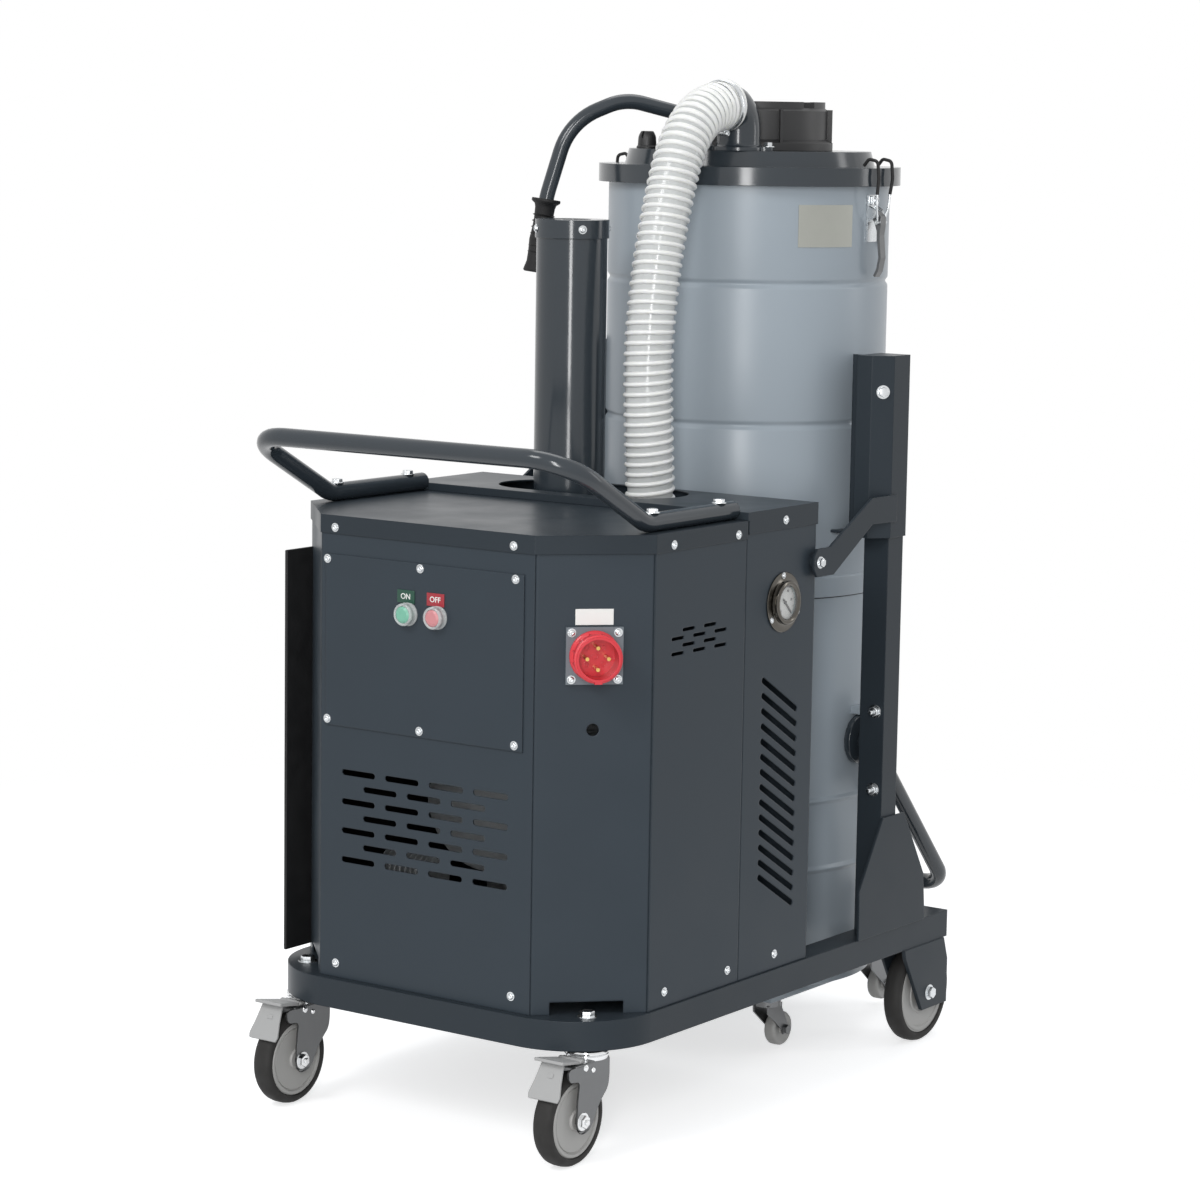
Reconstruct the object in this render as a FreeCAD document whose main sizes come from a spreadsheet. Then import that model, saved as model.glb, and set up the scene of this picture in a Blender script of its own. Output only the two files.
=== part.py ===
import FreeCAD, Part
import math
import os
from types import SimpleNamespace

import Sketcher
from FreeCAD import Placement, Rotation, Vector

# An industrial wheeled vacuum cleaner: a cabinet with a blower, a filter drum on two posts,
# and a dust bin on castors that a lever lifts against the drum.
# Millimetres. +Z is up and +X is the operator's right when facing the front, which looks to -Y.
# Distances named front or back are counted from the front edge of the cabinet's lid.
SIZES = {
    "origin_back": 476.5,
    "sheet": 2.0,
    "gap": 0.3,
    "run": 0.05,
    "side_play": 2.0,
    "tube_sides": 16,
    # Base frame
    "pan_half": 292.3,
    "pan_front": 10.0,
    "pan_corner": 125.0,
    "pan_top": 191.0,
    "skirt": 40.0,
    "pan_wall": 4.0,
    "rail_wide": 42.3,
    "rail_end": 892.0,
    "wheel_plate_ahead": 74.5,
    "wheel_plate_step": 4.0,
    "wheel_plate_lip": 13.5,
    "wheel_plate_foot": 19.5,
    "wheel_plate_behind": 51.0,
    "wheel_plate_corner": 11.5,
    "wheel_plate_heel": 33.5,
    "wheel_plate_low": 51.3,
    # Cabinet
    "lid_half": 291.0,
    "lid_chamfer": 112.4,
    "lid_top": 822.5,
    "lid_drop": 24.8,
    "seam_back": 327.2,
    "seam_gap": 0.5,
    "cabinet_back": 503.1,
    "rear_lid_rise": 11.0,
    "rear_lid_drop": 30.0,
    "return_fold": 20.0,
    "lid_hole_back": 425.0,
    "lid_hole_radius": 68.0,
    "lid_hole_left": 117.0,
    "lid_hole_right": 46.0,
    # Slots in the panels
    "grille_left": 141.0,
    "grille_low": 356.4,
    "grille_slot": 57.0,
    "grille_high": 8.0,
    "grille_step": 74.2,
    "grille_rise": 39.8,
    "side_slot": 29.0,
    "side_slot_high": 4.6,
    "side_slot_low": 661.4,
    "side_slot_rise": 20.2,
    "side_slot_step": 50.3,
    "side_slot_back": 217.6,
    "louvre_back": 376.0,
    "louvre_low": 327.0,
    "louvre_long": 83.0,
    "louvre_slope": 30.5,
    "louvre_high": 8.4,
    "louvre_rise": 21.0,
    "notch_long": 98.0,
    "notch_high": 17.0,
    "notch_middle": 54.0,
    "lock_hole": 8.0,
    "lock_up": 568.8,
    "lock_back": 56.8,
    # Control cover and push buttons
    "cover_left": 169.5,
    "cover_right": 162.0,
    "cover_low": 538.2,
    "cover_high": 770.3,
    "on_x": -28.0,
    "off_x": 21.4,
    "button_drop": 68.8,
    "button_radius": 11.0,
    "button_proud": 14.0,
    "button_deep": 22.0,
    "boot_radius": 14.5,
    "boot_proud": 9.0,
    # Mains inlet on the corner panel
    "socket_up": 666.5,
    "socket_ahead": 3.0,
    "socket_plate": 75.0,
    "socket_thick": 5.0,
    "shroud_radius": 29.0,
    "shroud_wall": 3.0,
    "shroud_long": 34.0,
    "pin_radius": 2.5,
    "pin_circle": 14.0,
    "pin_count": 4,
    "pin_long": 24.0,
    # Vacuum gauge
    "gauge_back": 420.0,
    "gauge_drop": 100.5,
    "gauge_flange": 41.5,
    "gauge_flange_thick": 2.5,
    "gauge_case": 30.0,
    "gauge_bezel": 33.0,
    "gauge_proud": 9.0,
    "gauge_deep": 26.0,
    "gauge_wall": 3.0,
    "lens_thick": 2.0,
    "needle_long": 22.0,
    "needle_wide": 2.4,
    "needle_axle": 1.5,
    # Push handle on the lid
    "handle_half": 265.0,
    "handle_radius": 12.5,
    "handle_wall": 2.0,
    "handle_bend_back": 122.0,
    "handle_reach": 50.0,
    "handle_rise": 92.0,
    "handle_corner": 65.0,
    "handle_bend": 45.0,
    # Blower in the cabinet
    "blower_x": -7.0,
    "blower_up": 432.0,
    "blower_back": 425.0,
    "blower_radius": 158.0,
    "blower_wide": 88.0,
    "blower_wall": 9.0,
    "port_half": 71.0,
    "port_radius": 30.4,
    "port_wall": 4.0,
    "silencer_port_up": 640.0,
    "hose_port_up": 812.0,
    "impeller_radius": 138.0,
    "impeller_wide": 50.0,
    "blade_thick": 4.0,
    "blade_deep": 34.0,
    "shaft_radius": 12.0,
    "motor_front": 200.0,
    "motor_radius": 82.0,
    "fin_high": 12.0,
    "fin_thick": 4.0,
    "fan_cover_long": 58.0,
    "fan_cover_radius": 97.0,
    "foot_wide": 230.0,
    "foot_thick": 14.0,
    # Exhaust silencer
    "silencer_radius": 50.0,
    "silencer_wall": 2.0,
    "silencer_top": 1211.0,
    "band_radius": 52.2,
    "band_high": 26.0,
    "absorber_radius": 29.0,
    # Suction hose, its clamps and the elbow on the drum lid
    "hose_x": 64.0,
    "hose_back": 425.0,
    "hose_start_up": 785.0,
    "hose_bore": 31.3,
    "hose_valley": 33.6,
    "hose_crest": 36.6,
    "rib_pitch": 14.3,
    "rib_flank": 0.28,
    "elbow_gap": 139.0,
    "elbow_bend": 34.0,
    "elbow_radius": 31.0,
    "elbow_wall": 2.5,
    "elbow_up": 1373.0,
    "spigot_long": 34.0,
    "elbow_flange": 37.0,
    "elbow_ear": 50.0,
    "elbow_ear_half": 12.0,
    "elbow_flange_thick": 6.0,
    "clamp_wide": 9.0,
    "clamp_thick": 1.6,
    # Posts and plates
    "post_out": 292.0,
    "post_side": 40.0,
    "post_tie": 60.0,
    "post_wall": 2.5,
    "post_back": 692.0,
    "post_top": 1022.0,
    "bracket_deep": 21.0,
    "plate": 4.0,
    # Filter drum
    "drum_radius": 205.7,
    "drum_back": 757.8,
    "drum_wall": 2.5,
    "drum_low": 634.0,
    "drum_flange_up": 1278.0,
    "drum_flange": 216.0,
    "flange_thick": 5.0,
    "groove_high_up": 1124.0,
    "groove_low_up": 894.0,
    "groove_deep": 4.0,
    "groove_half": 6.0,
    "bead_up": 667.0,
    "bead_high": 4.0,
    "bead_half": 4.0,
    "bead_step": 14.0,
    "inlet_up": 800.0,
    "inlet_radius": 35.0,
    "inlet_wall": 3.0,
    "inlet_long": 52.0,
    "seal": 3.0,
    # Drum lid
    "rim_radius": 220.7,
    "rim_low": 1261.0,
    "rim_top": 1287.0,
    "plateau_base": 183.0,
    "plateau_radius": 177.0,
    "plateau_top": 1309.0,
    "lid_wall": 3.0,
    "elbow_x": 70.0,
    "relief_x": -124.0,
    "relief_back": 672.0,
    "relief_base": 15.5,
    "relief_tip": 9.0,
    "relief_high": 25.0,
    # Filter cartridge
    "pleats": 24,
    "pleat_out": 186.0,
    "pleat_in": 150.0,
    "filter_low": 880.0,
    # Filter shaker: the cap on the lid and its bent lever
    "cap_back": 768.0,
    "cap_skirt": 115.0,
    "cap_radius": 108.0,
    "cap_crown": 103.0,
    "cap_skirt_high": 16.0,
    "cap_side_high": 41.0,
    "cap_crown_high": 13.0,
    "cap_wall": 4.0,
    "cap_rib": 4.0,
    "crown_gap": 24.0,
    "crown_gap_deep": 9.0,
    "spindle": 12.0,
    "spindle_low": 1262.0,
    "shaker_radius": 11.0,
    "shaker_bend": 26.0,
    "grip_radius": 15.0,
    "grip_flange": 21.0,
    # Latches
    "latch_turn": 1.5,
    "latch_half": 13.0,
    "latch_low": 1182.0,
    "latch_top": 1249.0,
    "latch_pivot_up": 1222.0,
    "latch_pivot_out": 9.0,
    "latch_pin": 3.0,
    "latch_lever_half": 7.0,
    "bail_half": 18.5,
    "bail_wire": 2.5,
    "bail_pin": 3.0,
    "bail_drop": 12.0,
    "bail_out": 7.0,
    # Lift lever, its cams and plates
    "pivot_up": 455.0,
    "pivot_back": 757.0,
    "pivot_pin": 8.0,
    "lever_half": 235.0,
    "lever_radius": 12.0,
    "lever_wall": 2.0,
    "lever_back": 985.0,
    "lever_up": 205.0,
    "lever_corner": 42.0,
    "cam_radius": 36.0,
    "cam_throw": 6.2,
    "cam_lead": 40.0,
    "cam_thick": 10.0,
    "cam_in": 211.0,
    "hub_radius": 15.0,
    "hub_proud": 0.5,
    "lift_play": 0.6,
    # Dust bin and its dolly
    "bin_top": 630.0,
    "bin_floor": 100.0,
    "bin_rim": 212.0,
    "bin_rim_high": 8.0,
    "bin_bead_high_up": 364.0,
    "bin_bead_low_up": 222.0,
    "dolly_low": 84.0,
    "dolly_bar": 44.0,
    "dolly_front": 605.0,
    "dolly_end": 984.0,
    "lug_wide": 26.0,
    "lug_high": 12.0,
    "bin_wheel_radius": 25.0,
    "bin_wheel_wide": 20.0,
    "bin_wheel_up": 34.3,
    "bin_fork_x": 146.0,
    "bin_fork_back": 629.0,
    "bin_rear_x": 123.0,
    "bin_rear_back": 957.0,
    "bin_trail": 30.0,
    "bin_axle": 4.0,
    "bin_fork_thick": 2.5,
    # Wheels of the frame
    "rear_wheel_radius": 75.0,
    "rear_wheel_wide": 30.0,
    "rear_wheel_back": 841.5,
    "rear_axle": 8.0,
    "wheel_disc": 0.8,
    "wheel_dish": 0.9,
    "wheel_crown": 0.7,
    "castor_radius": 62.5,
    "castor_wide": 32.0,
    "castor_x": 237.9,
    "castor_back": 47.8,
    "castor_trail": 39.0,
    "castor_axle": 6.0,
    "castor_head": 30.0,
    "castor_head_high": 16.0,
    "kingpin": 6.0,
    "fork_thick": 3.0,
    "wheel_play": 3.0,
    "pedal_pin": 3.0,
    "pedal_lift": 9.0,
    "pedal_thick": 3.0,
}

OVER = 1.0
DIAGONAL = math.sqrt(2)
DEGREE = math.pi / 180
TURNS = {
    "X": Rotation(Vector(0, 1, 0), 90),
    "Y": Rotation(Vector(1, 0, 0), -90),
    "Z": Rotation(),
}
PLANES = {
    "XY": Rotation(),
    "XZ": Rotation(Vector(1, 0, 0), 90),
    "YZ": Rotation(Vector(1, 1, 1), 120),
}
NORMALS = {"XY": Vector(0, 0, 1), "XZ": Vector(0, 1, 0), "YZ": Vector(1, 0, 0)}


class Size:
    """A length with its text for the sheet's expressions and its value for drawing."""

    def __init__(self, text, value):
        self.text = text
        self.value = float(value)

    def join(self, sign, other):
        other = size(other)
        value = {
            "+": self.value + other.value,
            "-": self.value - other.value,
            "*": self.value * other.value,
            "/": self.value / (other.value or 1),
        }[sign]
        return Size(f"({self.text} {sign} {other.text})", value)

    def __add__(self, other):
        return self.join("+", other)

    def __radd__(self, other):
        return size(other).join("+", self)

    def __sub__(self, other):
        return self.join("-", other)

    def __rsub__(self, other):
        return size(other).join("-", self)

    def __mul__(self, other):
        return self.join("*", other)

    def __rmul__(self, other):
        return size(other).join("*", self)

    def __truediv__(self, other):
        return self.join("/", other)

    def __neg__(self):
        return size(0).join("-", self)

    def __float__(self):
        return self.value


def size(number):
    """Any plain number as a Size."""
    return number if isinstance(number, Size) else Size(f"({float(number):.9g})", number)


def sine(angle):
    angle = size(angle)
    return Size(f"sin({angle.text})", math.sin(angle.value * DEGREE))


def cosine(angle):
    angle = size(angle)
    return Size(f"cos({angle.text})", math.cos(angle.value * DEGREE))


doc = FreeCAD.newDocument("WheeledVacuumCleaner")
sheet = doc.addObject("Spreadsheet::Sheet", "Sizes")
for row, (name, number) in enumerate(SIZES.items(), 1):
    sheet.set(f"A{row}", name)
    sheet.set(f"B{row}", str(number))
    sheet.setAlias(f"B{row}", name)
doc.recompute()
s = SimpleNamespace(**{name: Size(f"Sizes.{name}", number) for name, number in SIZES.items()})

PARTS = {}


def keep(name, piece):
    """Give a finished sub-part its name."""
    piece.Label = name
    PARTS[name] = piece
    return piece


def bind(piece, prop, length):
    piece.setExpression(prop, size(length).text)


def back(distance):
    """The y of a point so far behind the front edge of the cabinet's lid."""
    return size(distance) - s.origin_back


def put(piece, x, y, z, turn=Rotation()):
    """Place a piece."""
    piece.Placement = Placement(Vector(), turn)
    bind(piece, "Placement.Base.x", x)
    bind(piece, "Placement.Base.y", y)
    bind(piece, "Placement.Base.z", z)
    return piece


def block(x, y, z):
    """A box between two values on each axis."""
    piece = doc.addObject("Part::Box", "Block")
    for prop, (low, high) in zip(("Length", "Width", "Height"), (x, y, z)):
        bind(piece, prop, size(high) - low)
    return put(piece, x[0], y[0], z[0])


def span(axis, x, y, z):
    """Start point and length of a round piece whose place on its axis is a pair."""
    ends = {"X": x, "Y": y, "Z": z}[axis]
    start = [ends[0] if axis == name else place for name, place in zip("XYZ", (x, y, z))]
    return start, size(ends[1]) - ends[0]


def rod(axis, x, y, z, radius):
    """A cylinder along an axis, which takes a pair of values there."""
    start, length = span(axis, x, y, z)
    piece = doc.addObject("Part::Cylinder", "Rod")
    bind(piece, "Radius", radius)
    bind(piece, "Height", length)
    return put(piece, *start, TURNS[axis])


def hexagon(axis, x, y, z, radius):
    """A bolt head or nut, by the radius of its corners."""
    start, length = span(axis, x, y, z)
    piece = doc.addObject("Part::Prism", "Hexagon")
    piece.Polygon = 6
    bind(piece, "Circumradius", radius)
    bind(piece, "Height", length)
    return put(piece, *start, TURNS[axis])


def fuse(*pieces):
    piece = doc.addObject("Part::MultiFuse", "Fusion")
    piece.Shapes = list(pieces)
    piece.Refine = True
    return piece


def group(*pieces):
    piece = doc.addObject("Part::Compound", "Group")
    piece.Links = list(pieces)
    return piece


def cut(base, *tools):
    piece = doc.addObject("Part::Cut", "Cut")
    piece.Base = base
    piece.Tool = tools[0] if len(tools) == 1 else fuse(*tools)
    return piece


def draw(sketch, points):
    """A closed outline with straight sides, each corner tied to the sketch's origin."""
    points = [(size(u), size(v)) for u, v in points]
    first = sketch.GeometryCount
    count = len(points)
    for here, (u, v) in enumerate(points):
        ahead_u, ahead_v = points[(here + 1) % count]
        start = Vector(float(u), float(v), 0)
        sketch.addGeometry(Part.LineSegment(start, Vector(float(ahead_u), float(ahead_v), 0)), False)
    for here in range(count):
        ahead = first + (here + 1) % count
        sketch.addConstraint(Sketcher.Constraint("Coincident", first + here, 2, ahead, 1))
    for here, corner in enumerate(points):
        pin(sketch, first + here, 1, corner)


def pin(sketch, line, end, point):
    """Tie one point of a sketch to its place."""
    for kind, place in zip(("DistanceX", "DistanceY"), point):
        index = sketch.addConstraint(Sketcher.Constraint(kind, -1, 1, line, end, float(place)))
        sketch.setExpression(f"Constraints[{index}]", place.text)


def draw_slot(sketch, start, end, radius):
    """A slot with round ends about two centres."""
    start = [size(place) for place in start]
    end = [size(place) for place in end]
    a = Vector(float(start[0]), float(start[1]), 0)
    b = Vector(float(end[0]), float(end[1]), 0)
    r = float(radius)
    heading = math.atan2(b.y - a.y, b.x - a.x)
    aside = Vector(-math.sin(heading), math.cos(heading), 0) * r
    up = Vector(0, 0, 1)
    quarter = math.pi / 2
    first = sketch.GeometryCount
    sketch.addGeometry(Part.LineSegment(a - aside, b - aside), False)
    sketch.addGeometry(Part.ArcOfCircle(Part.Circle(b, up, r), heading - quarter, heading + quarter), False)
    sketch.addGeometry(Part.LineSegment(b + aside, a + aside), False)
    sketch.addGeometry(Part.ArcOfCircle(Part.Circle(a, up, r), heading + quarter, heading + 3 * quarter), False)
    joints = ((0, 2, 1, 1), (1, 2, 2, 1), (2, 2, 3, 1), (3, 2, 0, 1))
    for one, one_end, two, two_end in joints:
        sketch.addConstraint(Sketcher.Constraint("Tangent", first + one, one_end, first + two, two_end))
    sketch.addConstraint(Sketcher.Constraint("Equal", first + 1, first + 3))
    pin(sketch, first + 1, 3, end)
    pin(sketch, first + 3, 3, start)
    index = sketch.addConstraint(Sketcher.Constraint("Radius", first + 1, r))
    sketch.setExpression(f"Constraints[{index}]", size(radius).text)


def prism(plane, points, ends):
    """An outline drawn on a plane and extruded between two places along its normal."""
    sketch = doc.addObject("Sketcher::SketchObject", "Outline")
    draw(sketch, points)
    start = [0, 0, 0]
    start[{"YZ": 0, "XZ": 1, "XY": 2}[plane]] = ends[0]
    put(sketch, *start, PLANES[plane])
    piece = doc.addObject("Part::Extrusion", "Prism")
    piece.Base = sketch
    piece.DirMode = "Custom"
    piece.Dir = NORMALS[plane]
    piece.Solid = True
    bind(piece, "LengthFwd", size(ends[1]) - ends[0])
    return piece


def turned(points, x, y, z, axis="Z"):
    """A profile of radius and height, revolved about an axis through a point."""
    sketch = doc.addObject("Sketcher::SketchObject", "Profile")
    draw(sketch, points)
    sketch.Placement = Placement(Vector(), PLANES["XZ"])
    piece = doc.addObject("Part::Revolution", "Turned")
    piece.Source = sketch
    piece.Axis = Vector(0, 0, 1)
    piece.Angle = 360
    piece.Solid = True
    return put(piece, x, y, z, TURNS[axis])


def ring(axis, x, y, z, outer, inner):
    """A round bar with a bore right through it."""
    start, length = span(axis, x, y, z)
    points = ((inner, 0), (outer, 0), (outer, length), (inner, length))
    return turned(points, *start, axis)


def both(side, low, high):
    """A pair of x values on the right side, or their mirror image on the left."""
    return (low, high) if side > 0 else (-size(high), -size(low))


def tube_path(points, radii):
    """Straight runs joined by tangent arcs, one for each inner point."""
    corners = [Vector(*(float(place) for place in point)) for point in points]
    edges = []
    start = corners[0]
    for here, radius in enumerate(radii, 1):
        before = (corners[here - 1] - corners[here]).normalize()
        after = (corners[here + 1] - corners[here]).normalize()
        half = before.getAngle(after) / 2
        reach = float(radius) / math.tan(half)
        inward = (before + after).normalize()
        enter = corners[here] + before * reach
        leave = corners[here] + after * reach
        middle = corners[here] + inward * (float(radius) / math.sin(half) - float(radius))
        edges.append(Part.LineSegment(start, enter).toShape())
        edges.append(Part.Arc(enter, middle, leave).toShape())
        start = leave
    edges.append(Part.LineSegment(start, corners[-1]).toShape())
    return Part.Wire(edges)


def many_sided(centre, along, radius):
    """A closed wire of few sides about a line, with a corner towards X, which keeps long bends light."""
    first = Vector(1, 0, 0)
    if abs(along.dot(first)) > 0.9:
        first = Vector(0, 0, 1)
    second = along.cross(first).normalize()
    first = second.cross(along).normalize()
    count = SIZES["tube_sides"]
    corners = []
    for side in range(count + 1):
        angle = 2 * math.pi * (side % count) / count
        corners.append(centre + (first * math.cos(angle) + second * math.sin(angle)) * float(radius))
    return Part.makePolygon(corners)


def swept(path, radius):
    """A bar along a path."""
    start = path.Edges[0]
    section = many_sided(start.valueAt(start.FirstParameter), start.tangentAt(start.FirstParameter), radius)
    return path.makePipeShell([section], True, False)


def solid(name, shape):
    """A shape as an object of the document."""
    piece = doc.addObject("Part::Feature", name)
    piece.Shape = shape
    return piece


def tube(points, radii, radius, wall):
    """A bent tube, open at both ends."""
    path = tube_path(points, radii)
    return solid("Tube", swept(path, radius).cut(swept(path, float(radius) - float(wall))))


# Sheet-metal bodies with sketches on their own planes


def plane_of(body, role):
    return [plane for plane in body.Origin.OriginFeatures if plane.Role == role][0]


def sketch_on(body, role, height):
    """A sketch on a body's plane, moved along the plane's normal."""
    sketch = body.newObject("Sketcher::SketchObject", "Sketch")
    sketch.AttachmentSupport = [(plane_of(body, role), "")]
    sketch.MapMode = "FlatFace"
    bind(sketch, "AttachmentOffset.Base.z", height)
    return sketch


def pad(body, role, height, points, length):
    """The flat sheet of a panel."""
    sketch = sketch_on(body, role, height)
    draw(sketch, points)
    piece = body.newObject("PartDesign::Pad", "Panel")
    piece.Profile = sketch
    bind(piece, "Length", length)
    return piece


def slots(body, role, height, places, radius, patterns):
    """Slots cut through a panel, repeated by steps along the sketch's axes."""
    sketch = sketch_on(body, role, height)
    for start, end in places:
        draw_slot(sketch, start, end, radius)
    pocket = body.newObject("PartDesign::Pocket", "Slots")
    pocket.Profile = sketch
    pocket.Type = 1
    pocket.Midplane = True
    steps = []
    for axis, step, count in patterns:
        pattern = body.newObject("PartDesign::LinearPattern", "Step")
        pattern.Direction = (sketch, [axis])
        pattern.Mode = "Spacing"
        bind(pattern, "Offset", step)
        pattern.Occurrences = count
        steps.append(pattern)
    if len(steps) == 1:
        steps[0].Originals = [pocket]
        body.Tip = steps[0]
    else:
        grid = body.newObject("PartDesign::MultiTransform", "Grid")
        grid.Originals = [pocket]
        grid.Transformations = steps
        body.Tip = grid


def new_body(name):
    return doc.addObject("PartDesign::Body", name)


SKIRT_LOW = s.pan_top - s.skirt
CABINET_FRONT = s.sheet
PANEL_HALF = s.lid_half - s.sheet
PANEL_TOP = s.lid_top - s.sheet
REAR_TOP = s.lid_top + s.rear_lid_rise
RAIL_IN = s.pan_half - s.rail_wide
BUTTON_UP = s.cover_high - s.button_drop
GAUGE_UP = REAR_TOP - s.rear_lid_drop - s.gauge_drop
ELBOW_BACK = s.cap_back - s.elbow_gap
POST_IN = s.post_out - s.post_side
POST_END = s.post_back + s.post_side
WHEEL_X = s.pan_half - s.rail_wide / 2
HOSE_PORT_X = s.blower_x + s.port_half
SILENCER_X = s.blower_x - s.port_half
DRUM_Y = back(s.drum_back)
CASTOR_AXLE_Y = back(s.castor_back - s.castor_trail)


def rounded_front(half, forward, corner, end, z):
    """The tray's outline from above: two round corners at the front."""
    start = back(-forward)
    middle = start + corner
    narrow = half - corner
    return fuse(
        block((-narrow, narrow), (start, end), z),
        block((-half, half), (middle, end), z),
        rod("Z", -narrow, middle, z, corner),
        rod("Z", narrow, middle, z, corner),
    )


def base_frame():
    """The tray, its two rails, the rear wheel plates and the castor seats."""
    high = (SKIRT_LOW, s.pan_top)
    hollow = (SKIRT_LOW - OVER, s.pan_top - s.pan_wall)
    tray_end = back(s.cabinet_back)
    solids = [rounded_front(s.pan_half, s.pan_front, s.pan_corner, tray_end, high)]
    wall = s.pan_wall
    hollows = [rounded_front(s.pan_half - wall, s.pan_front - wall, s.pan_corner - wall,
                             tray_end - wall, hollow)]
    for side in (1, -1):
        solids.append(block(both(side, RAIL_IN, s.pan_half), (tray_end - wall, back(s.rail_end)), high))
        channel = both(side, RAIL_IN + wall, s.pan_half - wall)
        hollows.append(block(channel, (tray_end - wall * 2, back(s.rail_end) + OVER), hollow))
    tray = cut(fuse(*solids), *hollows)
    start = back(s.rear_wheel_back - s.wheel_plate_ahead)
    end = back(s.rear_wheel_back + s.wheel_plate_behind)
    plate = (
        (start, SKIRT_LOW), (start + s.wheel_plate_step, SKIRT_LOW - s.wheel_plate_lip),
        (back(s.rear_wheel_back - s.wheel_plate_foot), s.wheel_plate_low), (end, s.wheel_plate_low),
        (end, SKIRT_LOW - s.wheel_plate_heel), (end - s.wheel_plate_corner, SKIRT_LOW),
    )
    extras = []
    holes = []
    for side in (1, -1):
        extras.append(prism("YZ", plate, both(side, s.pan_half - wall, s.pan_half + s.sheet)))
        extras.append(prism("YZ", plate, both(side, RAIL_IN, RAIL_IN + wall)))
        seat = (SKIRT_LOW, s.pan_top - wall)
        x = s.castor_x * side
        extras.append(rod("Z", x, back(s.castor_back), seat, s.castor_head - s.fork_thick))
        holes.append(rod("Z", x, back(s.castor_back), (SKIRT_LOW - OVER, s.pan_top + OVER), s.kingpin))
        axle = both(side, RAIL_IN - OVER, s.pan_half + s.sheet + OVER)
        holes.append(rod("X", axle, back(s.rear_wheel_back), s.rear_wheel_radius, s.rear_axle))
    return cut(fuse(tray, *extras), *holes)


def front_panel():
    """The front sheet with its staggered grille."""
    body = new_body("FrontPanel")
    half = s.lid_half - s.lid_chamfer - s.sheet * (DIAGONAL - 1)
    face = -back(s.sheet * 2)
    corners = ((-half, s.pan_top), (half, s.pan_top), (half, PANEL_TOP), (-half, PANEL_TOP))
    pad(body, "XZ_Plane", face, corners, s.sheet)
    radius = s.grille_high / 2
    reach = s.grille_slot - s.grille_high
    for shift, count in ((0, 4), (0.5, 3)):
        left = -s.grille_left + radius + s.grille_step * shift
        up = s.grille_low + s.grille_rise * shift
        place = ((left, up), (left + reach, up))
        steps = (("H_Axis", s.grille_step, count), ("V_Axis", s.grille_rise, count))
        slots(body, "XZ_Plane", face, [place], radius, steps)
    holes = sketch_on(body, "XZ_Plane", face)
    for x in (s.on_x, s.off_x):
        hole = float(s.button_radius + OVER)
        index = holes.addGeometry(Part.Circle(Vector(float(x), float(BUTTON_UP), 0), Vector(0, 0, 1), hole), False)
        pin(holes, index, 3, (x, BUTTON_UP))
        radius_row = holes.addConstraint(Sketcher.Constraint("Radius", index, hole))
        holes.setExpression(f"Constraints[{radius_row}]", (s.button_radius + OVER).text)
    pocket = body.newObject("PartDesign::Pocket", "ButtonHoles")
    pocket.Profile = holes
    pocket.Type = 1
    pocket.Midplane = True
    body.Tip = pocket
    return body


def chamfer_frame(piece, back_of_middle, up):
    """Stand a piece, built on the origin with +X outwards, on the right-hand corner panel."""
    middle = s.lid_half - s.lid_chamfer + back_of_middle
    return put(piece, middle - s.sheet, back(back_of_middle), up, Rotation(Vector(0, 0, 1), -45))


def corner_panel(side):
    """A folded sheet across the corner, with a notch at its foot."""
    t = s.sheet
    flat = s.lid_half - s.lid_chamfer
    outside = (2 - DIAGONAL) * t
    inside = (3 - 2 * DIAGONAL) * t
    outline = (
        (flat - s.return_fold, t * 2), (flat + outside, t * 2), (PANEL_HALF - t, s.lid_chamfer - outside),
        (PANEL_HALF - t, s.lid_chamfer + s.return_fold), (PANEL_HALF - t * 2, s.lid_chamfer + s.return_fold),
        (PANEL_HALF - t * 2, s.lid_chamfer - inside), (flat + inside, t * 3), (flat - s.return_fold, t * 3),
    )
    points = [(x * side, back(y)) for x, y in outline]
    panel = prism("XY", points if side > 0 else points[::-1], (s.pan_top, PANEL_TOP))
    notch = block((-30, 30), (-s.notch_long / 2, s.notch_long / 2), (-OVER, s.notch_high))
    middle_x = (flat + s.notch_middle) * side
    put_notch = group(notch)
    put(put_notch, middle_x, back(s.notch_middle), s.pan_top, Rotation(Vector(0, 0, 1), -45 * side))
    tools = [put_notch]
    if side > 0:
        lock = group(rod("X", (-30, 30), 0, 0, s.lock_hole))
        tools.append(chamfer_frame(lock, s.lock_back, s.lock_up))
        inlet = group(rod("X", (-30, 30), 0, 0, s.shroud_radius - s.shroud_wall))
        tools.append(chamfer_frame(inlet, s.notch_middle + s.socket_ahead, s.socket_up))
    return cut(panel, *tools)


def side_panel(side):
    """A side sheet with two staggered sets of short slots."""
    body = new_body("SidePanel")
    start = back(s.lid_chamfer + s.sheet / 2)
    end = back(s.seam_back - s.seam_gap)
    corners = ((start, s.pan_top), (end, s.pan_top), (end, PANEL_TOP), (start, PANEL_TOP))
    height = PANEL_HALF - s.sheet if side > 0 else -PANEL_HALF
    pad(body, "YZ_Plane", height, corners, s.sheet)
    radius = s.side_slot_high / 2
    reach = s.side_slot / 2 - radius
    rows = ((s.side_slot_low, (-1, 0, 1)), (s.side_slot_low + s.side_slot_rise / 2, (-0.5, 0.5)))
    for up, shifts in rows:
        places = []
        for shift in shifts:
            middle = back(s.side_slot_back) + s.side_slot_step * shift
            places.append(((middle - reach, up), (middle + reach, up)))
        slots(body, "YZ_Plane", height, places, radius, [("V_Axis", s.side_slot_rise, 2)])
    return body


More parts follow.
